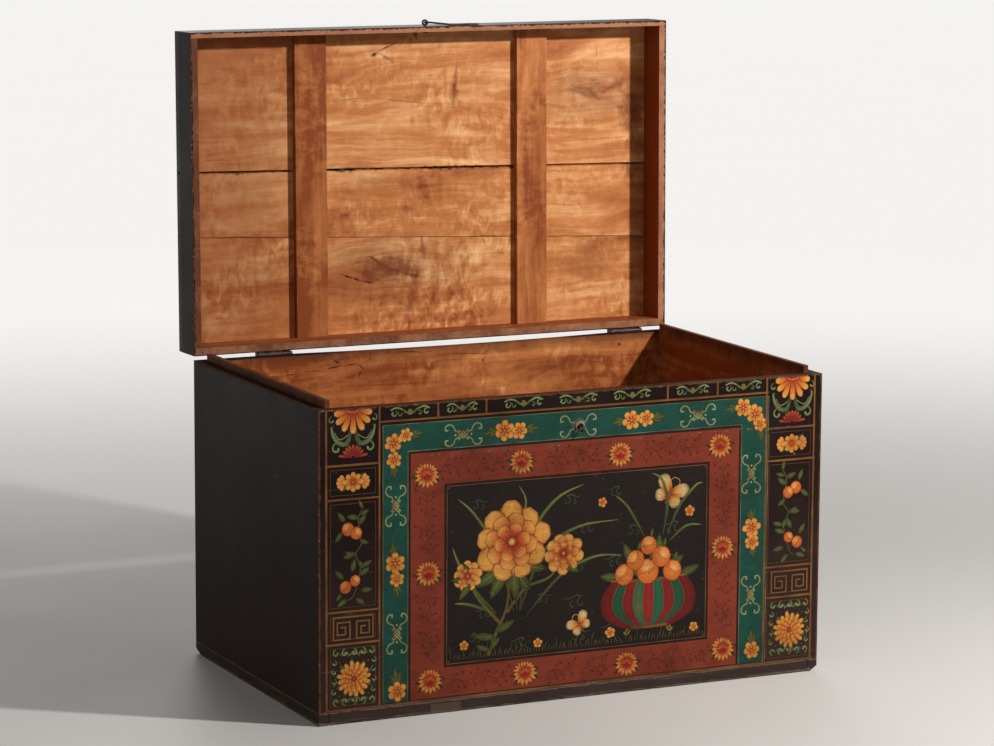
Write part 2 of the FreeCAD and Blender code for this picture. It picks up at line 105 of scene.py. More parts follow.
class Field:
    """One output of a node tree. Sums and products of fields, and of fields and numbers, add Math nodes."""

    def __init__(self, tree, socket=None):
        self.tree, self.socket = tree, socket

    def node(self, kind, settings, inputs, output=0):
        """Adds a node: its settings first, then the values or the fields of its sockets."""
        made = self.tree.nodes.new("ShaderNode" + kind)
        for name, value in settings.items():
            if name == "stops":
                while len(made.color_ramp.elements) < len(value):
                    made.color_ramp.elements.new(1.0)
                for element, (place, colour) in zip(made.color_ramp.elements, value):
                    element.position, element.color = place, (*colour, 1.0)
            else:
                setattr(made, name, value)
        for key, value in inputs.items():
            if isinstance(value, Field):
                self.tree.links.new(value.socket, made.inputs[key])
            else:
                made.inputs[key].default_value = value
        return Field(self.tree, made.outputs[output])

    def maths(self, operation, first, second=0.0):
        return self.node("Math", {"operation": operation}, {0: first, 1: second})

    def __add__(self, other):
        return self.maths("ADD", self, other)

    def __sub__(self, other):
        return self.maths("SUBTRACT", self, other)

    def __rsub__(self, other):
        return self.maths("SUBTRACT", other, self)

    def __mul__(self, other):
        return self.maths("MULTIPLY", self, other)

    __radd__, __rmul__ = __add__, __mul__

    def __abs__(self):
        return self.maths("ABSOLUTE", self)

    def most(self, other):
        return self.maths("MAXIMUM", self, other)

    def least(self, other):
        return self.maths("MINIMUM", self, other)

    def rises(self, low, high):
        """0 below low and 1 above high, with a smooth step between; high may be the lower one."""
        ends = {"From Min": low, "From Max": high}
        return self.node("MapRange", {"interpolation_type": "SMOOTHSTEP"}, {"Value": self, **ends})

    def mix(self, without, with_it):
        """The colour without at 0, and with_it at 1."""
        inputs = {}
        for key, colour in ((6, without), (7, with_it)):
            inputs[key] = colour if isinstance(colour, Field) else (*colour, 1.0)
        return self.node("Mix", {"data_type": "RGBA"}, {0: self, **inputs}, 2)

    def parts(self):
        return [self.node("SeparateXYZ", {}, {0: self}, i) for i in range(3)]

    def vector(self, x, y, z):
        return self.node("CombineXYZ", {}, {0: x, 1: y, 2: z})

    def scaled(self, *scale):
        return self.node("VectorMath", {"operation": "MULTIPLY"}, {0: self, 1: scale})

    def gap_to(self, place):
        return self.node("VectorMath", {"operation": "DISTANCE"}, {0: self, 1: place}, 1)

    def noise(self, *scale, detail=3.0, rough=0.5, warp=0.0):
        """Cloudy noise from 0 to 1, with so many blotches a metre along each direction, or alike along all three."""
        stretched = self.scaled(*(scale if len(scale) == 3 else scale * 3))
        inputs = {"Vector": stretched, "Scale": 1.0, "Detail": detail, "Roughness": rough}
        return self.node("TexNoise", {}, {**inputs, "Distortion": warp})


def tint(red, green, blue):
    """A colour as the eye reads it, 0 to 255, turned into the light that it sends back."""
    shares = (red / 255, green / 255, blue / 255)
    return tuple(c / 12.92 if c <= 0.04045 else ((c + 0.055) / 1.055) ** 2.4 for c in shares)


def finish_of(name):
    """A new material, the field of a point on the piece, and the shader's inputs."""
    material = bpy.data.materials.new(name)
    material.use_nodes = True
    tree = material.node_tree
    point = Field(tree).node("TexCoord", {}, {}, 3)
    return material, point, tree.nodes["Principled BSDF"].inputs


def feed(inputs, **fields):
    """Links fields to a shader's sockets, or sets plain numbers on them."""
    for name, value in fields.items():
        socket = inputs[name.replace("_", " ")]
        if isinstance(value, Field):
            value.tree.links.new(value.socket, socket)
        else:
            socket.default_value = value


def relief(height, depth, strength=1.0):
    """The normal of a surface whose height varies by so many metres."""
    inputs = {"Height": height, "Distance": depth, "Strength": strength}
    return height.node("Bump", {}, inputs)


def dress(material, *nodes):
    """Puts a material on CAD nodes."""
    for name in nodes:
        for slot in frame["nodes"][name].material_slots:
            slot.material = material


# Studio: a plain pale floor, smooth enough to hold a faint sheen. Away from the trunk it goes over into the
# brightness of the sky, so that no horizon shows behind the object.
floor_half_width = 60.0
floor_colour = tint(214, 209, 203)
floor_near = 0.5
floor_far = 4.3
black = (0.0, 0.0, 0.0)

floor_mesh = bpy.data.meshes.new("floor")
corners = [(x * floor_half_width, y * floor_half_width, 0.0) for x, y in ((-1, -1), (1, -1), (1, 1), (-1, 1))]
floor_mesh.from_pydata(corners, [], [(0, 1, 2, 3)])
floor = bpy.data.objects.new("floor", floor_mesh)
bpy.context.scene.collection.objects.link(floor)
floor_paint, point, shader = finish_of("floor_paint")
cloud = point.noise(1.6, 1.6, 1.0, detail=4.0)
away = point.node("VectorMath", {"operation": "LENGTH"}, {0: point}, 1).rises(floor_near, floor_far)
seen = point.node("LightPath", {}, {}, 0).most(point.node("LightPath", {}, {}, 3))
plain = cloud.mix([c * 0.93 for c in floor_colour], floor_colour)
feed(shader, Base_Color=away.mix(plain, black), Roughness=cloud * 0.2 + 0.42 + away * 0.4)
feed(shader, Normal=relief(point.noise(30.0, 30.0, 1.0), 0.4 * mm, 0.3))
feed(shader, Emission_Color=(away * seen).mix(black, [sky_shown * c for c in sky_colour]), Emission_Strength=1.0)
floor_mesh.materials.append(floor_paint)

sky = bpy.data.worlds.new("sky")
sky.use_nodes = True
bpy.context.scene.world = sky
sky_field = Field(sky.node_tree)
seen = sky_field.node("LightPath", {}, {}, 0) * (sky_shown - sky_light)
mirrored = sky_field.node("LightPath", {}, {}, 3) * (sky_mirrored - sky_light)
feed(sky.node_tree.nodes["Background"].inputs, Strength=seen.most(mirrored) + sky_light, Color=(*sky_colour, 1.0))


# Walls of the case: camphor boards, bare inside. Outside they are coated with black lacquer, which has gone
# cloudy, is scuffed on the flats, and has rubbed through to the ground and the wood along the edges.
lacquer_black = tint(27, 17, 15)
lacquer_bloom = tint(48, 36, 33)
lacquer_ground = tint(86, 52, 34)
lacquer_fleck = tint(150, 128, 104)
lacquer_low_pale = tint(66, 49, 43)
wood_pale = tint(244, 188, 128)
wood_mid = tint(195, 122, 70)
wood_dark = tint(136, 69, 34)
wood_stain = tint(120, 56, 30)
wood_knot = tint(88, 34, 18)
wood_split_and_shade = tint(42, 20, 12)
wood_top_dark = tint(82, 47, 33)
widest_line_mark = 5.6
skin = 1.2 * mm
lip_edge = inner_half_width + 8.0 * mm
pale_foot_height = 380.0 * mm
top_dark_reach = 26.0 * mm
edge_reach = 8.5 * mm
case_fingers = 37


def outer_skin(depths, ragged):
    """1 on an outer face and just under it, 0 deeper in, with a ragged limit. Inside a face a depth is below 0."""
    outermost = depths[0]
    for depth in depths[1:]:
        outermost = outermost.most(depth)
    return (outermost + ragged * (2.0 * skin)).rises(-1.6 * skin, -0.8 * skin)


def mark(along, across, wander, a0, c0, a1, c1, wide):
    """1 along a crack, hole, stain or band of painted shade from one place on the wood to another, which are
    along and across the grain.
    """
    heading = math.atan2(c1 - c0, a1 - a0)
    length = math.hypot(c1 - c0, a1 - a0)
    ahead = (along - a0) * math.cos(heading) + (across - c0) * math.sin(heading)
    aside = (across - c0) * math.cos(heading) - (along - a0) * math.sin(heading) + wander * (0.06 * length)
    past = (ahead - length).most(0.0 - ahead).most(0.0)
    gap = (past * past + aside * aside).maths("SQRT", past * past + aside * aside) + wander * (1.5 * wide)
    middle = (abs(ahead * (2.0 / length) - 1.0).least(1.0) if length else 0.0) * 0.7
    return (gap + middle * wide).rises(wide, 0.2 * wide)


def camphor(point, run, seed, knots=(), tone=1.0, ripple=1.0, marks=()):
    """Bare camphor wood: its colour, roughness and height. run is the grain's direction, the width's and the depth's.

    A knot is its place along and across the grain and its size; the grain flows round it. A mark is the places of
    its two ends, its half width in mm and how dark it is."""
    axes = point.parts()
    along, across, deep = (axes["XYZ".index(letter)] for letter in run)
    wander = point.noise(64.0, detail=4.0, rough=0.62) - 0.5
    heart, halo = None, None
    flow = across
    for knot_along, knot_across, size in knots:
        left, up = (along - knot_along) * 0.4, across - knot_across
        reach = left * left + up * up
        flow = flow - (up * (size * size)).maths("DIVIDE", up * (size * size), reach + (1.1 * size) ** 2)
        off = reach.maths("SQRT", reach) + wander * (0.9 * size)
        core, near = off.rises(0.7 * size, 0.0), off.rises(2.2 * size, 0.2 * size)
        heart = core if heart is None else heart.most(core)
        halo = near if halo is None else halo.most(near)
    sway = point.noise(6.0, detail=3.0) - 0.5
    place = point.vector(along + seed, flow + sway * 0.03 + 0.37 * seed, deep)
    bend = place.noise(1.7, 4.0, 3.0, detail=2.0)
    rings = flow * 26.0 + bend * 9.0
    years = rings.maths("PINGPONG", rings, 1.0)
    streaks = place.noise(3.0, 90.0, 60.0, detail=7.0, rough=0.66, warp=0.3)
    broad = place.noise(3.6, 15.0, 8.0, detail=6.0, rough=0.66, warp=0.5)
    figure = place.noise(64.0, 40.0, 9.0, detail=5.0, rough=0.6, warp=0.6)
    waves = place.noise(7.0, 9.0, 5.0, detail=3.0).rises(0.4, 0.66)
    pores = place.noise(30.0, 900.0, 300.0, detail=2.0)
    shade = years * 0.1 + streaks * 0.42 + broad * 1.1 + (figure - 0.5) * (waves * 0.62 + 0.16) * ripple
    shade = shade + (tone - 1.0) * 1.2 - 0.29
    colour = shade.node("ValToRGB", {"stops": [(0.2, wood_dark), (0.5, wood_mid), (0.81, wood_pale)]}, {0: shade})
    colour = (pores.rises(0.6, 0.8) * 0.35).mix(colour, wood_dark)
    if heart is not None:
        swirl = place.noise(14.0, 170.0, 60.0, detail=5.0, rough=0.65, warp=0.8)
        colour = (halo * (swirl * 1.6 - 0.25)).mix(colour, wood_stain)
        colour = (heart * (swirl * 1.4 - 0.4)).mix(colour, wood_knot)
    for a0, c0, a1, c1, wide, dark in marks:
        found = mark(along, across, wander, a0, c0, a1, c1, wide * mm) * dark
        stain = wide > widest_line_mark
        # Narrow marks are dark lines: cracks and holes, and painted shade along the lid's open joints.
        colour = (found * (streaks + 0.5)).mix(colour, wood_stain) if stain else found.mix(colour, wood_split_and_shade)
    height = years * 0.1 + streaks * 0.5 + figure * (waves * 1.6 + 0.6) * ripple
    return colour, figure * 0.2 + 0.38, height


def lacquer(point, worn):
    """Old black lacquer: its colour, roughness and height. worn is 1 where hands and floors have rubbed it; it
    grows paler towards its lower part."""
    cloud = point.noise(7.0, detail=5.0, rough=0.6)
    patches = point.noise(2.6, detail=3.0, warp=0.6)
    bloom = (cloud * 0.7 + patches * 0.5).rises(0.5, 0.86)
    colour = (bloom * 0.62).mix(lacquer_black, lacquer_bloom)
    # Paler in clouds towards the floor, below a set height.
    colour = (point.parts()[2].rises(pale_foot_height, 0.0) * (cloud * 0.5 + 0.2)).mix(colour, lacquer_low_pale)
    brush = point.noise(160.0, 12.0, 14.0, detail=2.0)
    scratch = point.noise(9.0, 330.0, 300.0, detail=3.0, rough=0.7).rises(0.69, 0.74)
    speck = point.noise(150.0, detail=2.0).rises(0.74, 0.79)
    rubbed = (point.noise(120.0, 120.0, 70.0, detail=4.0, rough=0.7) + worn * 0.62).rises(0.93, 1.06)
    scuff = point.noise(22.0, 22.0, 70.0, detail=6.0, rough=0.75, warp=0.4).rises(0.66, 0.74) * 0.28
    colour = (scratch * 0.45).most(speck * 0.5).most(scuff).mix(colour, lacquer_fleck)
    colour = rubbed.mix(colour, lacquer_ground)
    fleck = (point.noise(260.0, detail=2.0) + worn * 0.25).rises(0.86, 0.94) * worn
    colour = fleck.mix(colour, lacquer_fleck)
    roughness = cloud * 0.26 + brush * 0.08 + rubbed * 0.25 + 0.26
    return colour, roughness, cloud * 0.5 + brush * 0.2 - rubbed * 0.6


def edge_wear(place, edges, reach):
    """1 on the given edge lines and 0 at reach from them. An edge is its two faces, each a direction and a value."""
    axes = dict(zip("XYZ", place.parts()))
    worn = None
    for first, first_value, second, second_value in edges:
        gap = abs(axes[first] - first_value).most(abs(axes[second] - second_value))
        near = gap.rises(reach, 0.0)
        worn = near if worn is None else worn.most(near)
    return worn


def coated_wood(name, place_of, depths_of, edges, rubbed, wood, seams=None, sheen=0.05):
    """A board coated with lacquer on some faces and bare camphor elsewhere. wood is what camphor asks for, rubbed
    darkens the bare wood, on the lid partly with painted shade, and seams gives what shows through the lacquer."""
    material, point, shader = finish_of(name)
    place = place_of(point)
    ragged = place.noise(110.0, detail=4.0, rough=0.65) - 0.5
    outside = outer_skin(depths_of(place), ragged)
    coat = lacquer(place, edge_wear(place, edges, edge_reach))
    bare = camphor(place, **wood)
    bare_colour = rubbed(place, bare[0])
    coat_colour = seams(place, coat[0]) if seams else coat[0]
    colour = outside.mix(bare_colour, coat_colour)
    roughness = outside * (coat[1] - bare[1]) + bare[1]
    height = outside * (coat[2] - bare[2] * 0.6) + bare[2] * 0.6
    feed(shader, Base_Color=colour, Roughness=roughness, Normal=relief(height, 0.4 * mm, 0.55))
    feed(shader, Specular_IOR_Level=sheen)
    return material


def wall_finish(name, top="coated", chips=(), **wood):
    """A case board. Its top edge is coated, or coated outside the lip. A chip is a place and a size."""
    def depths_of(place):
        x, y, z = place.parts()
        depths = [abs(x) - half_width, front_y - y, y - back_y]
        if top == "coated":
            depths.append(z - case_top)
        else:
            depths.append(z - case_top - (abs(x) - lip_edge).rises(0.4 * mm, -0.4 * mm))
        return depths

    def rubbed(place, colour):
        """Darker towards the opening."""
        x, y, z = place.parts()
        cloud = place.noise(30.0, detail=3.0)
        return ((z - case_top).rises(-top_dark_reach, 0.3 * top_dark_reach) * (cloud + 0.35)).mix(colour, wood_top_dark)

    def seams(place, colour):
        """The ends of the joints' fingers, which print through the coat near the corners, broken here and there."""
        x, y, z = place.parts()
        pitch = (case_top - rail_top) / case_fingers
        count = (z - rail_top) * (1.0 / pitch)
        line = (abs(count.maths("PINGPONG", count, 0.5)) * pitch).rises(0.7 * mm, 0.3 * mm)
        side_wood, front_wood = half_width - inner_half_width, inner_front_y - front_y
        near_corner = (abs(x) - half_width + side_wood).rises(0.0, 0.2 * mm) * (
            abs(y - 0.5 * (front_y + back_y)) - (0.5 * (back_y - front_y) - front_wood)).rises(0.0, 0.2 * mm)
        broken = place.noise(60.0, detail=4.0, rough=0.7).rises(0.5, 0.62)
        colour = (line * near_corner * broken * 0.6).mix(colour, lacquer_ground)
        shaken = place.noise(150.0, detail=3.0) * (7.0 * mm)
        for chip_place, size in chips:
            chip = place.gap_to(chip_place) + shaken
            colour = (chip.rises(size + 3.5 * mm, size + 2.0 * mm) * 0.75).mix(colour, lacquer_fleck)
        return colour

    edges = [
        ("X", -half_width, "Y", front_y), ("X", half_width, "Y", front_y),
        ("X", -half_width, "Y", back_y), ("X", half_width, "Y", back_y),
        ("X", -half_width, "Z", case_top), ("X", half_width, "Z", case_top),
        ("Y", front_y, "Z", case_top), ("Y", back_y, "Z", case_top),
        ("Y", inner_front_y, "Z", case_top),
        ("X", -half_width, "Z", 0.0), ("X", half_width, "Z", 0.0), ("Y", front_y, "Z", 0.0)]
    return coated_wood(name, lambda point: point, depths_of, edges, rubbed, wood, seams)


back_marks = (
    (-0.300, 0.457, -0.248, 0.462, 1.3, 0.8), (-0.252, 0.462, -0.214, 0.464, 1.6, 0.85),
    (-0.218, 0.464, -0.176, 0.469, 1.8, 0.85), (-0.180, 0.468, -0.152, 0.471, 2.2, 0.85),
    (-0.154, 0.471, -0.143, 0.459, 2.2, 0.8), (-0.144, 0.461, -0.156, 0.445, 5.0, 0.62),
    (-0.178, 0.447, -0.150, 0.452, 7.0, 0.7), (-0.11, 0.486, 0.0, 0.482, 2.2, 0.7),
    (0.02, 0.476, 0.10, 0.472, 1.4, 0.6),
    (-0.132, 0.477, -0.132, 0.477, 3.0, 0.95), (-0.013, 0.471, -0.013, 0.471, 2.4, 0.95),
    (0.077, 0.462, 0.077, 0.462, 3.0, 0.95), (0.137, 0.463, 0.137, 0.463, 2.2, 0.9),
    (0.337, 0.473, 0.337, 0.473, 3.2, 0.9), (-0.200, 0.480, -0.186, 0.472, 4.0, 0.8),
    (0.060, 0.385, 0.150, 0.391, 1.4, 0.7), (-0.05, 0.36, 0.06, 0.365, 1.2, 0.7),
    (-0.36, 0.44, -0.20, 0.425, 22.0, 0.4), (0.16, 0.44, 0.30, 0.45, 18.0, 0.35))
left_chips = (
    ((-half_width, -0.132, 0.361), 1.2 * mm), ((-half_width, -0.180, 0.217), 2.2 * mm),
    ((-half_width, 0.225, 0.241), 2.0 * mm), ((-half_width, -0.104, 0.414), 0.8 * mm))
for wall, finish in (
        ("left_side", dict(run="YZX", seed=3.1, tone=0.84, top="lipped", chips=left_chips)),
        ("right_side", dict(run="YZX", seed=7.7, tone=0.78, top="lipped")),
        ("back_board", dict(run="XZY", seed=5.3, tone=0.84, ripple=1.3, marks=back_marks)),
        ("front_board", dict(run="XZY", seed=9.9, tone=0.84))):
    dress(wall_finish(wall.split("_")[0] + "_wall_wood", **finish), wall + "_lower", wall + "_upper")


# Painted front: bands of green and brick red round a black field, edged with gold lines. The painter laid flat
# grounds first, then outlines, leaves, petals and veins, each a thin film over the last. Here each stroke is a
# thin slab with its own colours; a point is in mm from the case's left edge and from the floor. A layer starts so
# many films above the board, so that the later ones lie over the earlier ones where they cross.
film = 0.05
line_lift = 2.2
spray_lift = 2.6
flower_lift = 3.0
butterfly_lift = 3.2
peony_lift = 4.8
stroke_film = 0.0025
stroke_ridge = 0.012
inner = 0.72
paint_root = -0.02
quarter_turn = 1.57
gold = tint(140, 90, 38)
gold_dim = tint(96, 60, 28)
ground_black = tint(27, 18, 14)
ground_green = tint(18, 67, 56)
ground_red = tint(122, 49, 29)
pale_line = tint(128, 132, 92)
amber = tint(206, 134, 50)
amber_light = tint(224, 166, 82)
orange = tint(188, 90, 36)
crimson = tint(124, 28, 22)
petal_ink = tint(112, 40, 18)
leaf_ink = tint(24, 32, 16)
leaf_dark = tint(48, 58, 28)
leaf_mid = tint(84, 92, 42)
leaf_light = tint(128, 132, 66)
bark = tint(112, 78, 36)
vine_green = tint(96, 112, 66)
vine_pale = tint(128, 140, 88)
vine = (vine_green, vine_pale)
warm = (orange, amber, amber_light)
deep_warm = (crimson, orange, amber, amber_light)
veins = (crimson, crimson, orange)
gilt = (gold, gold_dim)


def between(first, second, share):
    return tuple(a + (b - a) * share for a, b in zip(first, second))


def along_list(values, share):
    """A value part of the way along a list of numbers or colours."""
    place = share * (len(values) - 1)
    start = min(int(place), len(values) - 2)
    near, far = values[start], values[start + 1]
    if isinstance(near, tuple):
        return between(near, far, place - start)
    return near + (far - near) * (place - start)


def spot_from(a, h, turn):
    """Gives the function that finds a place so far along a direction from a and h, and so far beside it."""
    out, up = (math.cos(turn), math.sin(turn)), (-math.sin(turn), math.cos(turn))
    return lambda along, beside=0.0: (a + out[0] * along + up[0] * beside, h + out[1] * along + up[1] * beside)


def smooth_path(points, count):
    """Points along a smooth line through the given ones."""
    ends = [points[0], *points, points[-1]]
    path = []
    for i in range(count):
        place = i / (count - 1) * (len(points) - 1)
        k = min(int(place), len(points) - 2)
        t = place - k
        a, b, c, d = ends[k:k + 4]
        path.append(tuple(
            0.5 * (2 * q + (r - p) * t + (2 * p - 5 * q + 4 * r - s) * t ** 2 + (3 * q - p - 3 * r + s) * t ** 3)
            for p, q, r, s in zip(a, b, c, d)))
    return path


class Brush:
    """Collects strokes of paint, each a closed slab that stands a little higher than the one before it."""

    def __init__(self, seed):
        self.points, self.faces, self.colours = [], [], []
        self.height = 0.0
        self.hand = random.Random(seed)

    def lift(self, films):
        """The next strokes start so many films above the board."""
        self.height = films * film

    def place(self, a, h, height, colour):
        self.points.append((a * mm - half_width, front_y - height * mm, h * mm))
        self.colours.append((*colour, 1.0))
        return len(self.points) - 1

    def area(self, outline, colour):
        """A flat ground inside an outline that runs anticlockwise."""
        self.height += stroke_film
        top = [self.place(a, h, self.height, colour) for a, h in outline]
        root = [self.place(a, h, paint_root, colour) for a, h in outline]
        self.faces.append(top)
        self.faces.append(root[::-1])
        for i, low in enumerate(root):
            j = (i + 1) % len(root)
            self.faces.append((low, root[j], top[j], top[i]))

    def bar(self, a0, h0, a1, h1, colour):
        self.area([(a0, h0), (a1, h0), (a1, h1), (a0, h1)], colour)

    def stroke(self, points, widths, tints, rim=0.78, rows=7, ink=None):
        """A stroke through the points. widths and tints run from its start to its end; rim darkens its edges, or ink
        draws them and its tip."""
        self.height += stroke_film
        path = smooth_path(points, rows) if len(points) > 2 else [
            between(points[0], points[1], i / (rows - 1)) for i in range(rows)]
        ring = []
        for i, (a, h) in enumerate(path):
            before, after = path[max(i - 1, 0)], path[min(i + 1, rows - 1)]
            run = (after[0] - before[0], after[1] - before[1])
            length = math.hypot(*run) or 1.0
            half = max(along_list(widths, i / (rows - 1)), 0.08) / 2 / length
            side = (-run[1] * half, run[0] * half)
            colour = along_list(tints, i / (rows - 1))
            if ink and i == rows - 1:
                colour = between(colour, ink, 0.6)
            flank = tuple(c * rim for c in colour)
            edge = ink or flank
            top = self.height
            # Only an inked stroke has flanks, in its own colour, between its edges and its ridge.
            rails = [(-1.0, top, edge), (-inner, top, flank), (0.0, top + stroke_ridge, colour),
                     (inner, top, flank), (1.0, top, edge)][::1 if ink else 2]
            rails += [(1.0, paint_root, edge), (-1.0, paint_root, edge)]
            ring.append([self.place(a + side[0] * share, h + side[1] * share, *rest) for share, *rest in rails])
        for near, far in zip(ring, ring[1:]):
            for k, low in enumerate(near):
                j = (k + 1) % len(near)
                self.faces.append((low, far[k], far[j], near[j]))
        self.faces += [ring[0], ring[-1][::-1]]

    def petal(self, a, h, turn, start, reach, width, tints, bend=0.0, rim=0.8, rows=6, ink=None,
              shape=(0.34, 0.8, 1.0, 0.92, 0.4)):
        """A rounded petal that leaves a flower's middle at an angle."""
        spot = spot_from(a, h, turn)
        path = [spot(start + (reach - start) * share, bend * (reach - start) * math.sin(share * math.pi / 2) ** 2)
                for share in (0.0, 0.5, 1.0)]
        self.stroke(path, [width * s for s in shape], tints, rim, rows, ink)

    def petals(self, a, h, count, start, reach, width, tints, turn=0.0, uneven=(), **look):
        """Petals of one kind round a flower's middle. uneven is between what shares their reaches lie by chance."""
        for i in range(count):
            far = reach * self.hand.uniform(*uneven) if uneven else reach
            self.petal(a, h, turn + 2 * math.pi * i / count, start, far, width, tints, **look)

    def leaf(self, a, h, turn, length, width, tints=(leaf_dark, leaf_mid, leaf_dark), bend=0.12):
        """A pointed leaf and its vein."""
        self.petal(a, h, turn, 0.0, length, width, tints, bend, 0.75, ink=leaf_ink, shape=(0.2, 0.8, 1.0, 0.62, 0.1))
        self.petal(a, h, turn, 0.1 * length, 0.9 * length, 0.09 * width, (leaf_light, leaf_light), bend, 1.0, 5)

    def dot(self, a, h, size, colour, edge=None, tall=1.0):
        """A round dab, darker or lighter at its edge."""
        self.height += stroke_film
        edge = edge or tuple(c * 0.8 for c in colour)
        count = 6 if size < 2.0 else 14
        turns = [2 * math.pi * i / count for i in range(count)]
        ring = [(a + size / 2 * math.cos(t), h + tall * size / 2 * math.sin(t)) for t in turns]
        top = [self.place(*p, self.height, edge) for p in ring]
        root = [self.place(*p, paint_root, edge) for p in ring]
        peak = self.place(a, h, self.height + stroke_ridge, colour)
        self.faces.append(root[::-1])
        for i, low in enumerate(root):
            j = (i + 1) % count
            self.faces.append((top[i], top[j], peak))
            self.faces.append((low, root[j], top[j], top[i]))

    def scroll(self, a, h, size, turn, sweep, width, tints, tail=0.22, rows=12):
        """A line that curls in from its size to its tail share, sweeping so many radians."""
        path = []
        for i in range(rows):
            share = i / (rows - 1)
            away = size * (1.0 + (tail - 1.0) * share ** 0.8)
            angle = turn + sweep * share
            path.append((a + away * math.cos(angle), h + away * math.sin(angle)))
        self.stroke(path, [width * 0.5, width, width, width * 1.25], tints, 0.9, rows)

    def rosette(self, a, h, size, turn=0.0, petals=5):
        """A flower seen from above: round petals, crimson veins and a dotted eye."""
        for i in range(petals):
            angle = turn + 2 * math.pi * i / petals + self.hand.uniform(-0.06, 0.06)
            reach = size * self.hand.uniform(0.94, 1.05)
            self.petal(a, h, angle, 0.12 * size, reach, 4.6 * size / petals, warm, rim=0.9, ink=petal_ink)
        self.petals(a, h, petals, 0.1 * size, 0.58 * size, 0.16 * size, veins, turn, rim=1.0, rows=4)
        self.dot(a, h, 0.34 * size, amber_light, crimson)
        for i in range(petals):
            spot = spot_from(a, h, turn + math.pi * (2 * i + 1) / petals)
            self.dot(*spot(0.3 * size), 0.1 * size, amber_light)

    def mesh(self, name):
        made = bpy.data.meshes.new(name)
        made.from_pydata(self.points, [], self.faces)
        paint = made.attributes.new("paint", "FLOAT_COLOR", "POINT")
        paint.data.foreach_set("color", [c for colour in self.colours for c in colour])
        return made


def paint_finish(name):
    """Oil paint under an old varnish: the film's own colour, browned in clouds, cracked, scratched and chipped."""
    material, point, shader = finish_of(name)
    film_colour = point.node("Attribute", {"attribute_name": "paint"}, {})
    cloud = point.noise(9.0, 1.0, 9.0, detail=5.0, rough=0.62)
    brushed = point.noise(50.0, 1.0, 300.0, detail=3.0, rough=0.6)
    grain = point.noise(420.0, 1.0, 420.0, detail=2.0)
    dirt = point.noise(26.0, 1.0, 34.0, detail=6.0, rough=0.7, warp=0.4)
    browned = (cloud * 1.5 + dirt * 1.1 + brushed * 0.7 + grain * 0.35 - 1.5).rises(0.0, 0.9)
    colour = browned.mix(film_colour, film_colour.scaled(0.54, 0.47, 0.42))
    cells = {"Vector": point.scaled(420.0, 1.0, 300.0), "Scale": 1.0}
    cracks = point.node("TexVoronoi", {"feature": "DISTANCE_TO_EDGE"}, cells)
    colour = (cracks.rises(0.045, 0.015) * 0.35 * cloud).mix(colour, ground_black)
    scratch = point.noise(210.0, 1.0, 40.0, detail=3.0, rough=0.7, warp=1.2).rises(0.72, 0.76)
    chip = point.noise(170.0, 1.0, 170.0, detail=4.0, rough=0.65).rises(0.67, 0.7)
    edges = [("X", -half_width, "Y", front_y), ("X", half_width, "Y", front_y)]
    edges += [("Y", front_y, "Z", z) for z in (case_top, board_joint_z, rail_top)]
    worn = edge_wear(point, edges, 4.0 * mm) * point.noise(120.0, 1.0, 120.0, detail=4.0).rises(0.5, 0.6)
    bruise = point.noise(46.0, 1.0, 46.0, detail=6.0, rough=0.72).rises(0.685, 0.71)
    colour = (scratch * 0.3).mix(colour, lacquer_fleck)
    colour = chip.most(worn * 0.8).most(bruise * 0.7).mix(colour, lacquer_ground)
    colour = (worn * grain.rises(0.56, 0.66)).mix(colour, lacquer_fleck)
    height = brushed * 0.5 + cloud * 0.3 - chip * 0.6 - worn * 0.4
    feed(shader, Base_Color=colour, Roughness=cloud * 0.3 + dirt * 0.2 + 0.22, Normal=relief(height, 0.2 * mm, 0.5))
    feed(shader, Specular_IOR_Level=0.16)
    return material


paint_material = paint_finish("aged_paint")


def hang_paint(name, paint):
    """Makes a painted layer of the front from a brush's strokes or from a mesh."""
    mesh = paint.mesh(name) if isinstance(paint, Brush) else paint
    if not mesh.materials:
        mesh.materials.append(paint_material)
    piece = bpy.data.objects.new(name, mesh)
    bpy.context.scene.collection.objects.link(piece)
    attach(piece, "case")
    return piece


# Layout of the front, from the outside in. The bands' edges are measured from the case's left edge and the floor.
front_width = 2 * half_width / mm
outer_line = (10.5, 14.5)
column_panels = (16.0, 97.5)
column_line = (99.0, 102.5)
green_edges = (106.5, 26.0, front_width - 98.0, 461.5)
red_edges = (153.0, 26.0, front_width - 151.5, 414.0)
field_edges = (210.0, 72.5, front_width - 204.5, 363.0)
bottom_line = (20.6, 24.0)
top_line = (466.0, 469.0)
column_rises = (126.0, 176.5, 351.5, 404.5)
right_rise = 3.5
line_width = 3.2
fine_line = 0.9
frame_gap = 3.6
frame_inset = 3.2
edge_gap = 4.5
corner_step = 8.5
red_border = 4.0
line_end = case_top / mm - 0.6
strip_dividers = (199.0, 281.0, 598.0, 688.0)


def ruled(brush, start, end, width, tints, rim=0.8):
    """A long line ruled by hand, a little uneven."""
    steps = max(3, int(math.dist(start, end) / 22.0))
    path = [between(start, end, i / steps) for i in range(steps + 1)]
    path = [(a + brush.hand.uniform(-0.12, 0.12), h + brush.hand.uniform(-0.12, 0.12)) for a, h in path]
    widths = [width * brush.hand.uniform(0.88, 1.1) for _ in path]
    brush.stroke(path, widths, [between(tints[0], tints[1], brush.hand.random()) for _ in path], rim, len(path))


def outlined(brush, a0, h0, a1, h1, width, tints):
    """A ruled line round a rectangle."""
    for start, end in (((a0, h0), (a1, h0)), ((a1, h0), (a1, h1)), ((a1, h1), (a0, h1)), ((a0, h1), (a0, h0))):
        ruled(brush, start, end, width, tints)


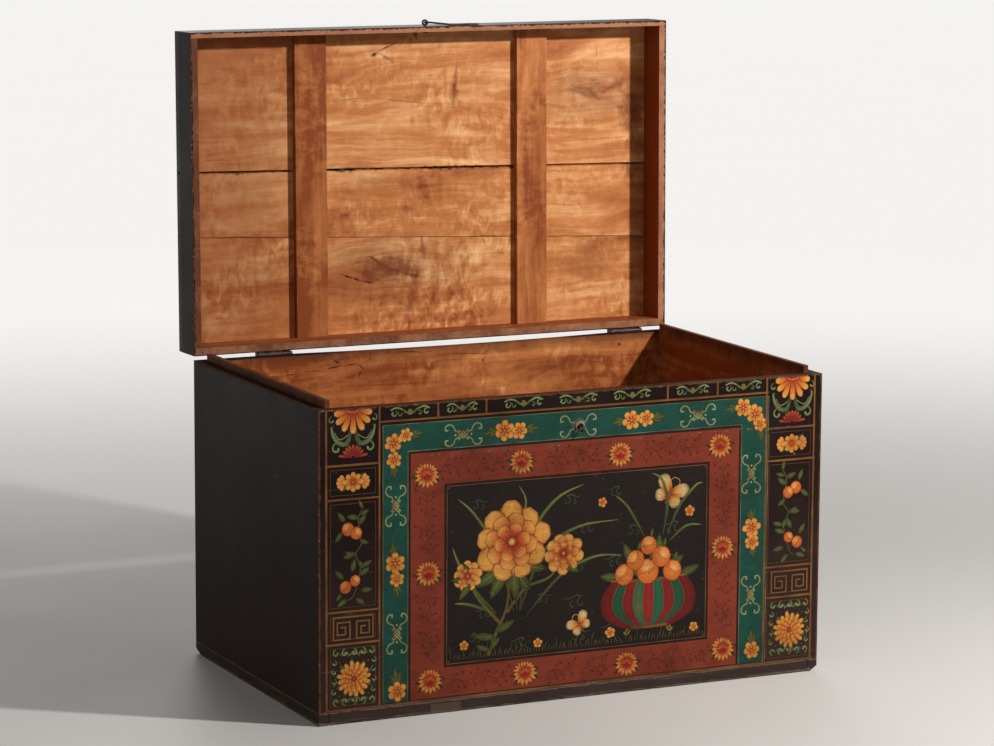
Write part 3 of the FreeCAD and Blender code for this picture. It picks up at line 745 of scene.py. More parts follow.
grounds = Brush(1)
a0, h0, a1, h1 = red_edges
red_outside = (a0 - red_border, h0, a1 + red_border, h1 + red_border)
for lift, edges, colour in ((1.0, green_edges, ground_green), (1.3, red_outside, ground_black),
                            (1.6, red_edges, ground_red), (1.9, field_edges, ground_black)):
    grounds.lift(lift)
    grounds.bar(*edges, colour)
hang_paint("paint_grounds", grounds)

lines = Brush(2)
lines.lift(line_lift)
for mirrored in (False, True):
    def across(a):
        return front_width - a - 1.0 if mirrored else a

    for low, high in (outer_line, column_line):
        middle = across((low + high) / 2)
        ruled(lines, (middle, bottom_line[0]), (middle, line_end), line_width, gilt)
    rises = [rise + (right_rise if mirrored else 0.0) for rise in column_rises]
    for rise in rises:
        ruled(lines, (across(outer_line[0]), rise), (across(column_line[1]), rise), line_width, gilt)
    floors = [bottom_line[1] + 1.5] + [rise + frame_gap for rise in rises]
    tops = [rise - frame_gap for rise in rises]
    left, right = sorted((across(column_panels[0] + frame_inset), across(column_panels[1] - frame_inset)))
    for low, high in zip(floors, tops):
        outlined(lines, left, low + frame_inset, right, high - frame_inset, fine_line, (gold_dim, gold_dim))
for inset, (low, high) in ((8.0, bottom_line), (column_line[0], top_line)):
    middle = (low + high) / 2
    ruled(lines, (inset, middle), (front_width - inset, middle), line_width, gilt)
for divider in strip_dividers:
    ruled(lines, (divider, top_line[1]), (divider, line_end), line_width, gilt)
for (a0, h0, a1, h1), gap, width in ((green_edges, 0.0, 1.0), (red_edges, edge_gap, 1.2)):
    turns = ((a0 - gap, h0), (a0 - gap, h1 + gap), (a1 + gap, h1 + gap), (a1 + gap, h0))
    for start, end in zip(turns, turns[1:]):
        ruled(lines, start, end, width, (pale_line, gold_dim))
a0, h0, a1, h1 = field_edges
outlined(lines, a0 + edge_gap, h0 + edge_gap, a1 - edge_gap, h1 - edge_gap, 1.1, gilt)
for a, h, step_a, step_h in ((a0, h0, 1, 1), (a1, h0, -1, 1), (a1, h1, -1, -1), (a0, h1, 1, -1)):
    corner = (a + corner_step * step_a, h + corner_step * step_h)
    ruled(lines, (corner[0], h + edge_gap * step_h), corner, fine_line, gilt)
    ruled(lines, (a + edge_gap * step_a, corner[1]), corner, fine_line, gilt)

# The lock's worn round spot in the top of the green band: pale rings round bare ground and dark iron.
lines.lift(2.4)
lines.dot(441.5, 437.5, 25.0, tint(108, 104, 84), tint(60, 82, 68))
lines.dot(442.0, 437.5, 19.0, tint(126, 84, 70), tint(150, 146, 126))
lines.dot(442.5, 437.0, 13.5, tint(52, 22, 18), tint(112, 48, 40))
hang_paint("paint_lines", lines)


# Green band: pairs of small blossoms between leaves, clusters at the corners, and lozenges of knotted lines
# between curling scrolls, all in quick strokes.
lock_place = (440.0, 438.0)
green_places = (
    (242.0, 438.0, 0.0), (653.0, 439.0, 0.0), (*lock_place, 0.0),
    (128.0, 335.0, 0.5), (130.0, 134.0, 0.5), (752.0, 337.0, 0.5), (754.0, 138.0, 0.5))
lozenge_ink = tint(150, 160, 104)
scroll_ink = tint(118, 142, 104)

blossoms = Brush(3)
for a, h, quarter in green_places:
    blossoms.lift(flower_lift)
    spot = spot_from(a, h, math.pi * quarter)
    for side in (-1, 1):
        for lift in (-1, 1):
            path = [spot(side * along, lift * beside) for along, beside in (
                (7.0, 5.5), (13.5, 6.0), (17.0, 13.5), (23.5, 17.0), (30.0, 14.0), (30.5, 8.0), (25.5, 8.5))]
            blossoms.stroke(path, [1.6, 2.0, 2.2, 2.4, 2.4, 2.6, 1.8], (scroll_ink, pale_line, lozenge_ink), 0.9, 14)
    if (a, h) == lock_place:
        continue
    for k in (-1, 0, 1):
        reach = 8.5 if k == 0 else 6.0
        for lean in (-reach, reach):
            blossoms.stroke([spot(5.2 * k - lean, -reach), spot(5.2 * k + lean, reach)],
                            [1.5, 1.7, 1.5], (lozenge_ink, gold), 0.9, 3)
    for along in (-13.5, 13.5):
        blossoms.dot(*spot(along), 3.4, lozenge_ink)

# A cluster's flowers are each a place and a size, and its leaves each a place, an angle and a length.
for flowers, leaves in (
        (((312.0, 439.0, 17.0), (338.0, 437.5, 14.0)), ((300.0, 439.0, 180.0, 25.0), (348.0, 438.0, 0.0, 26.0))),
        (((534.0, 440.0, 16.0), (560.0, 441.0, 13.5)), ((522.0, 440.0, 180.0, 24.0), (570.0, 440.0, 0.0, 26.0))),
        (((145.0, 444.0, 11.0), (124.0, 433.0, 15.0), (125.0, 407.0, 13.0)),
         ((153.0, 443.0, 5.0, 22.0), (124.0, 398.0, -88.0, 22.0))),
        (((735.0, 446.0, 15.0), (757.0, 434.0, 16.0), (766.0, 417.0, 12.0)),
         ((724.0, 446.0, 178.0, 24.0), (766.0, 408.0, -86.0, 20.0))),
        (((127.0, 245.0, 17.0), (130.0, 220.0, 12.5)), ((126.0, 257.0, 95.0, 24.0), (129.0, 213.0, -90.0, 24.0))),
        (((754.0, 249.0, 16.5), (755.0, 225.0, 13.5)), ((754.0, 261.0, 92.0, 22.0), (756.0, 216.0, -88.0, 20.0))),
        (((131.0, 42.0, 16.0),), ((131.0, 52.0, 94.0, 32.0),)),
        (((758.0, 46.0, 15.0),), ((758.0, 56.0, 90.0, 26.0),))):
    blossoms.lift(flower_lift)
    for a, h, degrees, length in leaves:
        for spread_turn, reach in ((-24.0, 0.72), (24.0, 0.72), (0.0, 1.0)):
            blossoms.leaf(a, h, math.radians(degrees + spread_turn), reach * length, 0.32 * length)
    for a, h, size in flowers:
        blossoms.rosette(a, h, size, blossoms.hand.uniform(0, 6.28), 6)
hang_paint("paint_green_band", blossoms)


# Red band: ten chrysanthemums, all drawn alike, with thin dark sprays of scrolls and twigs between them.
chrysanthemum_places = (
    (180.0, 379.0), (342.0, 388.0), (515.0, 387.0), (694.0, 388.0), (183.0, 224.0),
    (701.0, 221.0), (186.0, 53.0), (350.0, 50.0), (530.0, 47.0), (704.0, 54.0))
chrysanthemum_size = 26.0
faint_ink = tint(74, 31, 22)
heart_red = tint(142, 26, 26)


def scattered(name, motif, places, size, seed):
    """Sets a motif at each place by a node tree, each copy turned and sized a little by chance."""
    tree = bpy.data.node_groups.new(name, "GeometryNodeTree")
    sockets = {}
    for label, kind, way in (("Places", "NodeSocketGeometry", "INPUT"), ("Motif", "NodeSocketObject", "INPUT"),
                             ("Size", "NodeSocketFloat", "INPUT"), ("Lean", "NodeSocketFloat", "INPUT"),
                             ("Chance", "NodeSocketInt", "INPUT"), ("Drawn", "NodeSocketGeometry", "OUTPUT")):
        sockets[label] = tree.interface.new_socket(label, in_out=way, socket_type=kind).identifier

    def add(kind, *numbered, **named):
        """Adds a node. Its sockets' values, or the sockets that feed them, are given by number or by name."""
        node = tree.nodes.new(kind)
        for key, source in (*numbered, *named.items()):
            socket = node.inputs[key]
            if isinstance(source, bpy.types.NodeSocket):
                tree.links.new(source, socket)
            else:
                socket.default_value = source
        return node

    given = tree.nodes.new("NodeGroupInput").outputs
    motif_info = add("GeometryNodeObjectInfo", Object=given["Motif"])
    less = add("ShaderNodeMath", (0, given["Lean"]), (1, -1.0))
    less.operation = "MULTIPLY"
    lean = add("FunctionNodeRandomValue", (2, less.outputs[0]), (3, given["Lean"]), Seed=given["Chance"])
    turn = add("ShaderNodeCombineXYZ", Y=lean.outputs[1])
    copies = add("GeometryNodeInstanceOnPoints", Points=given["Places"], Instance=motif_info.outputs["Geometry"],
                 Scale=given["Size"], Rotation=turn.outputs[0])
    real = add("GeometryNodeRealizeInstances", Geometry=copies.outputs[0])
    coated = add("GeometryNodeSetMaterial", Geometry=real.outputs[0], Material=paint_material)
    add("NodeGroupOutput", Drawn=coated.outputs[0])

    carrier_mesh = bpy.data.meshes.new(name + "_places")
    carrier_mesh.from_pydata([(a * mm - half_width, front_y, h * mm) for a, h in places], [], [])
    carrier = bpy.data.objects.new(name + "_places", carrier_mesh)
    bpy.context.scene.collection.objects.link(carrier)
    source = bpy.data.objects.new(name + "_motif", motif)
    bpy.context.scene.collection.objects.link(source)
    modifier = carrier.modifiers.new(name, "NODES")
    modifier.node_group = tree
    for label, value in (("Motif", source), ("Size", size), ("Lean", 0.22), ("Chance", seed)):
        modifier[sockets[label]] = value
    view = bpy.context.evaluated_depsgraph_get()
    drawn = bpy.data.meshes.new_from_object(carrier.evaluated_get(view), depsgraph=view)
    for item in (carrier, source):
        bpy.data.objects.remove(item)
    return drawn


def chrysanthemum_motif():
    """One flower of unit size about its own middle, drawn at the left end of the case's foot."""
    brush = Brush(4)
    brush.lift(flower_lift)
    grow = 100.0
    for turn in (-0.25, math.pi + 0.3):
        for lean in (-0.35, 0.3):
            brush.leaf(0.0, 0.0, turn + lean, 1.0 * grow, 0.34 * grow, (leaf_dark, ground_black, leaf_dark))
    petals = 17
    for ring, share, wide in ((0, 1.0, 0.24), (1, 0.8, 0.19)):
        for i in range(petals):
            angle = 2 * math.pi * (i + 0.5 * ring) / petals
            low = 0.5 - 0.5 * math.sin(angle)
            reach = grow * share * (0.62 + 0.32 * low) * brush.hand.uniform(0.93, 1.05)
            tips = deep_warm if ring == 0 else (crimson, orange, amber_light)
            brush.petal(0.0, 0.12 * grow, angle, 0.12 * grow, reach, wide * grow * (0.55 + 0.3 * low), tips,
                        rim=0.8, rows=5, ink=petal_ink)
    for i in range(15):
        angle = 2 * math.pi * i / 15
        reach = (0.66 if i % 2 else 0.5) * grow * brush.hand.uniform(0.9, 1.1)
        brush.petal(0.0, 0.02 * grow, angle, 0.1 * grow, reach, 0.075 * grow, (heart_red, heart_red, crimson, orange),
                    rim=0.9, rows=4)
    brush.dot(0.0, 0.0, 0.62 * grow, heart_red, heart_red, 0.8)
    for i in range(7):
        angle = math.pi * (0.1 + 0.8 * i / 6)
        brush.petal(0.0, -0.06 * grow, angle, 0.12 * grow, 0.34 * grow, 0.05 * grow, warm[:2], rim=0.9, rows=4)
    motif = brush.mesh("chrysanthemum_motif")
    corner = Vector((-half_width, front_y, 0.0))
    for point in motif.vertices:
        away = point.co - corner
        point.co = Vector((away.x / grow / mm, away.y / (chrysanthemum_size * mm), away.z / grow / mm))
    return motif


hang_paint("paint_chrysanthemums", scattered(
    "chrysanthemums", chrysanthemum_motif(), chrysanthemum_places, chrysanthemum_size * mm, 5))

sprays = Brush(6)
spray_places = (
    (0.0, ((225.0, 390.0, 52.0), (285.0, 388.0, 50.0), (400.0, 390.0, 44.0), (455.0, 390.0, 46.0),
           (575.0, 390.0, 50.0), (632.0, 390.0, 50.0))),
    (quarter_turn, ((180.0, 330.0, 46.0), (181.0, 275.0, 40.0), (184.0, 165.0, 50.0), (186.0, 105.0, 50.0),
                    (700.0, 330.0, 50.0), (701.0, 272.0, 44.0), (703.0, 165.0, 48.0), (704.0, 108.0, 44.0))),
    (0.0, ((240.0, 48.0, 54.0), (296.0, 48.0, 44.0), (410.0, 47.0, 50.0), (470.0, 47.0, 48.0),
           (590.0, 47.0, 52.0), (650.0, 48.0, 46.0))))
inks = (faint_ink, faint_ink)
hand = sprays.hand
for turn, a, h, length in ((turn, *place) for turn, places in spray_places for place in places):
    sprays.lift(spray_lift)
    spot = spot_from(a, h, turn)
    bend = hand.uniform(5.0, 10.0)
    twig = [spot(along * length, beside * bend)
            for along, beside in ((-0.5, -1.0), (-0.2, 0.4), (0.15, -0.3), (0.5, 1.0))]
    sprays.stroke(twig, [0.8, 1.3, 1.1, 0.7], inks, 1.0, 12)
    for i in range(8):
        foot = along_list(twig, (i + 0.5) / 8)
        side = 1 if i % 2 else -1
        lean = turn + side * hand.uniform(0.7, 1.3)
        reach = hand.uniform(9.0, 15.0)
        tip = spot_from(*foot, lean)(reach)
        sprays.stroke([foot, tip], [0.5, 0.9, 0.4], inks, 1.0, 4)
        for spread_turn in (-0.7, 0.0, 0.7):
            sprays.petal(*tip, lean + spread_turn, 0.0, hand.uniform(3.0, 5.5), 1.5, inks, 0.2, 1.0, 4)
        if i % 2:
            sprays.scroll(*spot_from(*foot, turn)(0.0, -8 * side), 5.0, turn, side * 4.8, 0.8, inks)
hang_paint("paint_red_band_sprays", sprays)


# Side columns: a great flower over scrolls, a small bloom, a fruit spray, a square fret and a chrysanthemum,
# the same set on both sides, each in its own gold frame.
columns = Brush(7)
fruit_light = tint(222, 158, 96)
fruit_mid = tint(204, 122, 48)
fret_gold = tint(126, 84, 38)
earth_red = tint(120, 34, 28)


def great_flower(brush, a, h, size):
    """The large bloom cut by the top edge: long drooping petals over curling leaves and a red foot."""
    top = case_top / mm - 1.5
    for side in (-1, 1):
        for path, widths, tints, rim, rows in (
                (((3, 0.6), (10, 1.28), (24, 1.24), (33, 0.9), (36, 0.5)), [5.0, 7.5, 6.5, 4.5, 2.0],
                 (leaf_dark, *vine), 0.75, 12),
                (((8, 0.9), (22, 1.1), (31, 0.75)), [1.0, 1.4, 0.8], (vine_pale, pale_line), 1.0, 8)):
            brush.stroke([(a + da * side, h - dh * size) for da, dh in path], widths, tints, rim, rows)
        brush.scroll(a + 27 * side, h - 1.5 * size, 9.5, quarter_turn, -side * 5.0, 3.0, vine)
        brush.scroll(a + 13 * side, h - 1.62 * size, 7.5, quarter_turn, side * 4.6, 2.6, (leaf_dark, vine_green))
        brush.scroll(a + 35 * side, h - 0.2 * size, 6.5, quarter_turn, -side * 4.8, 2.2, (leaf_mid, vine_pale))
        for k in range(4):
            brush.dot(a + (12 + 7 * k) * side, h - (0.35 + 0.14 * (k % 2)) * size, 1.6, vine_pale)
    for i in range(9):
        reach = 19.0 if 0 < i < 8 else 24.0
        brush.petal(a, h - 1.92 * size, math.pi * (0.04 + 0.92 * i / 8), 2.0, reach, 5.0,
                    (earth_red, crimson, orange), rim=0.9, ink=petal_ink)
    for i in (0, 6, 1, 5, 2, 4, 3):
        angle = -math.pi * (0.05 + 0.9 * i / 6)
        reach = size * (0.94 + 0.16 * math.sin(i / 6 * math.pi))
        middle = (a + 6.0 * math.cos(angle), top)
        tip = (a + reach * math.cos(angle), min(top - 5.0, h + 8 + reach * math.sin(angle)))
        belly = between(middle, tip, 0.55)
        path = [middle, (belly[0], belly[1] - 2.0), tip]
        brush.stroke(path, [3.0, 6.0, 10.0, 11.0, 5.0], deep_warm, 0.88, 9, petal_ink)
        for aside in (-1.6, 0.0, 1.6):
            root = (middle[0] + aside, top)
            brush.stroke([root, between(root, tip, 0.6)], [1.0, 0.8, 0.4], veins, 1.0, 4)
    for i in range(9):
        brush.dot(a + 2.2 * (i - 4), top - 2.5 - 2.2 * math.sin(i / 8 * math.pi), 1.7, amber_light)


def small_bloom(brush, a, h):
    """A full bloom between two buds, spread to fill a low panel."""
    for degrees in (25, 155, 205, 335, 90, 270):
        brush.leaf(a, h, math.radians(degrees), 26.0 if degrees not in (90, 270) else 13.0, 9.0)
    for side in (-1, 1):
        for i in range(5):
            angle = math.pi * (0.5 - 0.5 * side) + math.radians(-64 + 32 * i)
            brush.petal(a + 15.0 * side, h, angle, 1.5, 13.0, 8.0, warm, rim=0.88, ink=petal_ink)
    for i in range(8):
        reach = 15.5 if i % 4 else 19.0
        brush.petal(a, h, 2 * math.pi * i / 8, 2.0, reach, 10.0, warm, rim=0.86, ink=petal_ink)
    brush.petals(a, h, 6, 1.0, 8.5, 6.0, (crimson, orange, amber), math.pi / 6, rim=0.85, ink=petal_ink)
    brush.petals(a, h, 8, 1.0, 7.0, 1.0, (crimson, crimson), rim=1.0, rows=4)
    brush.dot(a, h, 4.0, amber_light, crimson)


def fruit(brush, a, h, size, turn):
    """A round fruit, pale where light falls on it, with a cleft and an inked edge."""
    brush.dot(a, h, size, petal_ink, petal_ink, 1.05)
    brush.dot(a, h, size - 1.6, fruit_mid, orange, 1.05)
    spot = spot_from(a, h, turn)
    brush.dot(*spot(0.12 * size), 0.68 * size, fruit_light, fruit_mid)
    cleft = [spot(0.0, 0.46 * size), spot(-0.06 * size), spot(0.0, -0.42 * size)]
    brush.stroke(cleft, [0.6, 1.1, 0.5], (crimson, orange), 1.0, 6)


def fruit_spray(brush, a, low, high, way):
    """Two pairs of fruit on one hanging twig, in a tall panel. way is -1 where it hangs from the left."""
    mid = (low + high) / 2
    twig = ((17, high - 10), (8, high - 30), (14, mid + 18), (4, mid), (12, mid - 22), (2, low + 22), (-8, low + 12))
    widths = [1.0, 1.5, 1.4, 1.5, 1.3, 1.2, 0.8]
    brush.stroke([(a + way * da, h) for da, h in twig], widths, (bark, leaf_mid, bark), 0.9, 22)
    for da, h, degrees, length in (
            (16, high - 12, 110, 15), (12, high - 22, 20, 16), (9, high - 26, 165, 20), (-14, mid + 52, 120, 19),
            (8, mid + 46, 40, 20), (-18, mid + 36, 225, 19), (10, mid + 22, 330, 17), (4, mid + 2, 190, 22),
            (2, mid - 2, 150, 17), (8, mid - 10, 300, 17), (14, mid - 20, 20, 19), (-2, low + 56, 70, 21),
            (-16, low + 46, 130, 20), (10, low + 50, 25, 20), (4, low + 14, 320, 19), (12, low + 26, 355, 20),
            (-10, low + 14, 205, 20), (-20, low + 24, 230, 14)):
        angle = math.radians(degrees if way > 0 else 180 - degrees)
        brush.leaf(a + way * da, h, angle, length, 0.5 * length)
    for da, h, size, turn in (
            (-9, mid + 40, 21.0, 2.3), (5, mid + 33, 20.0, 0.6),
            (-13, low + 33, 20.0, 2.5), (3, low + 42, 18.0, 0.8)):
        fruit(brush, a + way * da, h, size, turn)


def fret(brush, a, low, high, wide):
    """Two square spirals side by side, joined at the top."""
    half_bar = 1.0
    for side in (-1, 1):
        inner_end, outer_end = a + side * 1.0, a + side * wide / 2
        step_a, step_h = (outer_end - inner_end) / 7.0, (high - low) / 7.0
        turns = ((0, 7), (7, 7), (7, 0), (1, 0), (1, 5.4), (5.6, 5.4), (5.6, 1.5), (2.6, 1.5), (2.6, 3.8), (4.2, 3.8))
        walk = [(inner_end + step_a * i, low + step_h * k) for i, k in turns]
        for (x0, y0), (x1, y1) in zip(walk, walk[1:]):
            brush.bar(min(x0, x1) - half_bar, min(y0, y1) - half_bar,
                      max(x0, x1) + half_bar, max(y0, y1) + half_bar, fret_gold)


def great_chrysanthemum(brush, a, h, size):
    """A full chrysanthemum of four rings with crimson veins, among curling vines that fill its panel."""
    for row, level in ((40.0, 1), (-34.0, -1)):
        wave = [(a + 6.6 * i, h + row + 2.6 * level * (-1) ** i) for i in range(-5, 6)]
        brush.stroke(wave, [1.6, 2.6, 2.6, 1.6], (leaf_dark, vine_green, leaf_dark), 0.85, 31)
        for i in range(-4, 5, 2):
            way = 1 if i < 0 else -1
            brush.scroll(a + 7.4 * i, h + row + 1.0 * level, 6.4, quarter_turn * level, 5.2 * way * level, 2.7, vine)
    for side in (-1, 1):
        for dh, way in ((26.0, -1), (12.0, 1), (-4.0, -1), (-20.0, 1)):
            brush.scroll(a + 33.0 * side, h + dh, 5.4, quarter_turn, way * 5.0, 2.4, (leaf_mid, vine_pale))
    for degrees in (-30, -62, -95, -128, -160, 15, 50, 90, 130, 165):
        brush.leaf(a, h, math.radians(degrees), size * 1.06, 12.0)
    for i in range(12):
        angle = 2 * math.pi * (i + 0.5) / 12
        brush.dot(a + 1.06 * size * math.cos(angle), h + 1.16 * size * math.sin(angle), 1.5, amber)
    for petals, reach, wide, turn in (
            (16, 0.92, 8.6, 0.1), (13, 0.7, 7.4, 0.3), (10, 0.48, 6.0, 0.2), (7, 0.27, 4.4, 0.0)):
        for i in range(petals):
            angle = turn + 2 * math.pi * i / petals
            far = reach * size * brush.hand.uniform(0.92, 1.06)
            brush.petal(a, h - 1, angle, 0.3 * far, far, wide, deep_warm, 0.08, 0.8, 7, petal_ink)
            brush.petal(a, h - 1, angle, 0.2 * far, 0.8 * far, 1.4, veins, 0.06, 1.0, 4)
    brush.dot(a, h - 1, 3.2, amber_light, crimson)


for middle, rise, way in ((57.0, 0.0, 1), (front_width - 54.5, right_rise, -1)):
    for draw, *given in (
            (great_flower, middle, case_top / mm - 10.0, 34.0), (small_bloom, middle, 378.0 + rise),
            (fruit_spray, middle, 182.0 + rise, 348.0 + rise, way), (fret, middle, 133.5 + rise, 168.0 + rise, 66.0),
            (great_chrysanthemum, middle + 1.0, 71.0 + rise, 32.0)):
        columns.lift(flower_lift)
        draw(columns, *given)

# The narrow strip along the top edge: seven sprigs of curling vine, each round a gilt eye.
for a, wide in ((152.0, 66.0), (240.0, 52.0), (345.0, 66.0), (440.0, 66.0),
                (535.0, 66.0), (643.0, 58.0), (735.0, 66.0)):
    columns.lift(flower_lift)
    for side in (-1, 1):
        path = [(a + side * share * wide, h)
                for share, h in ((0.0, 475.5), (0.2, 484.5), (0.36, 487.5), (0.5, 484.0))]
        columns.stroke(path, [1.6, 2.6, 2.8, 1.8], vine, 0.9, 9)
        columns.scroll(a + side * 0.42 * wide, 479.0, 6.5, 0.8, side * 5.4, 2.4, vine)
        columns.scroll(a + side * 0.24 * wide, 477.5, 4.6, 2.2, -side * 5.0, 2.0, (leaf_mid, vine_green))
        columns.leaf(a + side * 0.1 * wide, 478.0, 0.9 if side > 0 else 2.2, 9.0, 4.5)
    columns.dot(a, 481.0, 8.0, gold, leaf_mid)
    columns.dot(a, 481.0, 3.6, crimson, amber)
hang_paint("paint_columns", columns)


# Black field: a low footed bowl of fruit at the right, a peony bush at the left, grasses and two butterflies
# among faint curls of cloud.
field = Brush(8)
bowl_red = tint(138, 34, 30)
bowl_green = tint(34, 92, 62)
wing_pale = tint(224, 190, 130)
mist = tint(80, 86, 64)
grass_foot = 82


def peony(brush, a, h, size, turn=0.0):
    """A wide open peony: three rings of broad petals, crimson at their roots."""
    for ring, (count, reach, wide) in enumerate(((9, 1.0, 0.66), (8, 0.74, 0.52), (6, 0.48, 0.4))):
        tints = warm if ring == 0 else (crimson, orange, amber_light)
        brush.petals(a, h, count, 0.1 * size, reach * size, wide * size, tints, turn + math.pi * ring / count,
                     (0.93, 1.06), rim=0.86, rows=9, ink=petal_ink)
    brush.petals(a, h, 14, 0.05 * size, 0.32 * size, 0.04 * size, veins, turn, rim=1.0, rows=4)
    brush.dot(a, h, 0.2 * size, amber_light, gold)


def blade(brush, points, width):
    """A long grass leaf with a pale rib."""
    brush.stroke(points, [0.3 * width, width, width, 0.7 * width, 0.2], (leaf_dark, leaf_mid, leaf_light), 0.7, 16)
    brush.stroke(points, [0.3, 0.7, 0.6, 0.3], (leaf_light, leaf_light), 1.0, 16)


def butterfly(brush, a, h, size, turn):
    """A butterfly from above: two pairs of banded wings, a dark body and feelers."""
    for side in (-1, 1):
        for degrees, reach, wide in ((38, 1.0, 0.62), (-28, 0.74, 0.56)):
            angle = turn + math.pi / 2 - side * math.radians(90 - degrees)
            far = reach * size
            bands = (crimson, amber, wing_pale, leaf_dark)
            brush.petal(a, h, angle, 0.08 * size, far, wide * size, bands, rim=0.6, rows=9)
            brush.petal(a, h, angle, 0.1 * size, 0.7 * far, 0.22 * wide * size, (amber, amber_light, orange), rim=0.8)
            brush.dot(*spot_from(a, h, angle)(0.66 * far), 0.13 * size, crimson, amber_light)
        brush.scroll(*spot_from(a, h, turn + quarter_turn)(0.62 * size), 0.3 * size, turn - quarter_turn + 0.5 * side,
                     side * 2.6, 0.7, warm[1:], 0.5)
    brush.petal(a, h, turn - math.pi / 2, -0.3 * size, 0.5 * size, 0.16 * size, (bark, gold, leaf_dark),
                rim=0.7, rows=8)


def footed_bowl(brush, a, foot_h, wide, tall):
    """A low lobed bowl on curled feet: red lobes, green panels between them and a gilt rim."""
    def rib(share):
        """A line up the bowl, from its foot to its rim, at a share of its half width."""
        return [(a + share * out * wide, foot_h + up * tall) for out, up in (
            (0.17, 0.0), (0.44, 0.28), (0.49, 0.62), (0.38, 1.0))]

    rim_h = foot_h + tall
    for side in (-1, 1):
        brush.scroll(a + side * 0.27 * wide, foot_h - 0.07 * tall, 0.12 * tall, 1.5, side * 4.8, 2.4,
                     (leaf_light, gold))
        leg = [(a + side * out * wide, foot_h + up * tall) for out, up in ((0.2, 0.06), (0.25, 0.0), (0.27, -0.1))]
        brush.stroke(leg, [4.0, 3.4, 2.6], (gold, leaf_light), 0.8, 6)
    for k in range(-4, 5):
        colour = bowl_red if k % 2 == 0 else bowl_green
        dark = tuple(c * (1.0 - 0.45 * abs(k / 4)) for c in colour)
        light = between(dark, amber, 0.12 if k == -1 else 0.0)
        brush.stroke(rib(k / 4), [wide * share for share in (0.07, 0.145, 0.15, 0.11)], (dark, light, dark), 0.7, 12)
    for k in range(-4, 4):
        brush.stroke(rib((k + 0.5) / 4), [0.7, 0.9, 0.9, 0.7], (gold_dim, gold), 1.0, 12)
    brush.stroke([(a - 0.45 * wide, rim_h + 1), (a, rim_h - 2.5), (a + 0.45 * wide, rim_h + 1)],
                 [3.0, 4.4, 3.0], (gold, gold_dim, gold), 0.8, 14)
    brush.stroke([(a - 0.22 * wide, foot_h + 1), (a, foot_h - 1), (a + 0.22 * wide, foot_h + 1)],
                 [3.0, 4.0, 3.0], (gold_dim, gold), 0.8, 10)


def cloud_curl(brush, a, h, size, side):
    """A faint curl of cloud with a trailing line."""
    faint = (mist, leaf_dark)
    brush.lift(line_lift)
    brush.scroll(a, h, size, math.pi / 2, side * 5.0, 1.3, faint)
    brush.scroll(a - side * 1.5 * size, h - 0.3 * size, 0.7 * size, math.pi / 2, side * 4.6, 1.2, faint)
    trail = [(a - side * back * size, h + up * size)
             for back, up in ((0.0, 1.0), (0.9, 1.25), (2.2, 0.7), (3.2, 0.95))]
    brush.stroke(trail, [1.1, 1.4, 1.1, 0.5], faint, 1.0, 10)


for i in range(25):
    column, row = i % 5, i // 5
    a = 262 + 82 * column + 30 * (row % 2) + field.hand.uniform(-10, 10)
    h = 104 + 54 * row + field.hand.uniform(-8, 8)
    cloud_curl(field, a, h, field.hand.uniform(7.0, 10.0), 1 if (column + row) % 2 else -1)
field.lift(flower_lift)
for points, width in (
        (((300, 150), (262, 190), (236, 232), (224, 262)), 6.0),
        (((300, 150), (254, 168), (228, 172)), 5.0),
        (((330, 150), (300, 250), (262, 310), (232, 338)), 5.5),
        (((340, 150), (356, 260), (400, 322), (452, 344)), 6.0),
        (((340, 150), (380, 240), (440, 276), (512, 282)), 5.5),
        (((335, 150), (330, 260), (350, 320), (338, 350)), 5.0),
        (((350, 140), (410, 200), (470, 226), (520, 224)), 5.0),
        (((600, 250), (622, 296), (650, 326), (664, 330)), 5.0),
        (((592, 250), (600, 300), (590, 340), (572, 352)), 5.0),
        (((604, 240), (634, 262), (662, 262)), 4.5), (((560, 250), (530, 300), (506, 322)), 4.5)):
    blade(field, points, width)
for points in (((286, 84), (300, 120), (318, 160), (322, 214)), ((318, 150), (350, 186), (392, 200), (410, 226)),
               ((310, 130), (282, 160), (262, 186), (256, 208))):
    field.stroke(points, [6.0, 5.0, 4.0, 2.6], (bark, leaf_mid, bark), 0.7, 14)
for a, h, degrees, length in (
        (322, 228, 20, 70), (322, 228, -20, 66), (320, 228, -58, 60), (318, 224, 200, 62), (318, 224, 232, 58),
        (322, 240, 150, 60), (324, 246, 60, 58), (330, 220, -95, 52), (408, 226, 10, 40), (408, 226, -40, 42),
        (404, 222, 60, 38), (256, 208, 170, 34), (256, 204, 225, 34), (258, 206, 110, 32), (300, 120, 20, 36),
        (298, 112, 165, 38), (288, 92, 40, 26), (288, 92, 150, 26)):
    field.leaf(a, h, math.radians(degrees), length, 0.4 * length, bend=0.14)
for a, h, size, turn in ((326, 262, 64.0, 0.2), (416, 236, 34.0, 0.5), (250, 214, 25.0, 0.9)):
    field.lift(peony_lift)
    peony(field, a, h, size, turn)
field.lift(flower_lift)
for a, h, degrees in (
        (562, 188, 150), (600, 190, 35), (520, 186, 165), (584, 214, 80), (540, 206, 110), (622, 182, 15)):
    field.leaf(a, h, math.radians(degrees), 40.0, 17.0, bend=0.1)
footed_bowl(field, 568, 104, 150.0, 78.0)
for a, h, size, turn in (
        (524, 192, 34, 2.2), (610, 192, 34, 0.9), (566, 194, 40, 1.8),
        (544, 214, 32, 2.4), (590, 216, 34, 0.8), (567, 236, 30, 1.6)):
    fruit(field, a, h, size, turn)
    field.leaf(a + 4, h + 0.42 * size, 1.2, 0.5 * size, 0.2 * size)
field.lift(butterfly_lift)
butterfly(field, 604, 316, 36.0, -0.5)
butterfly(field, 446, 118, 25.0, 0.6)
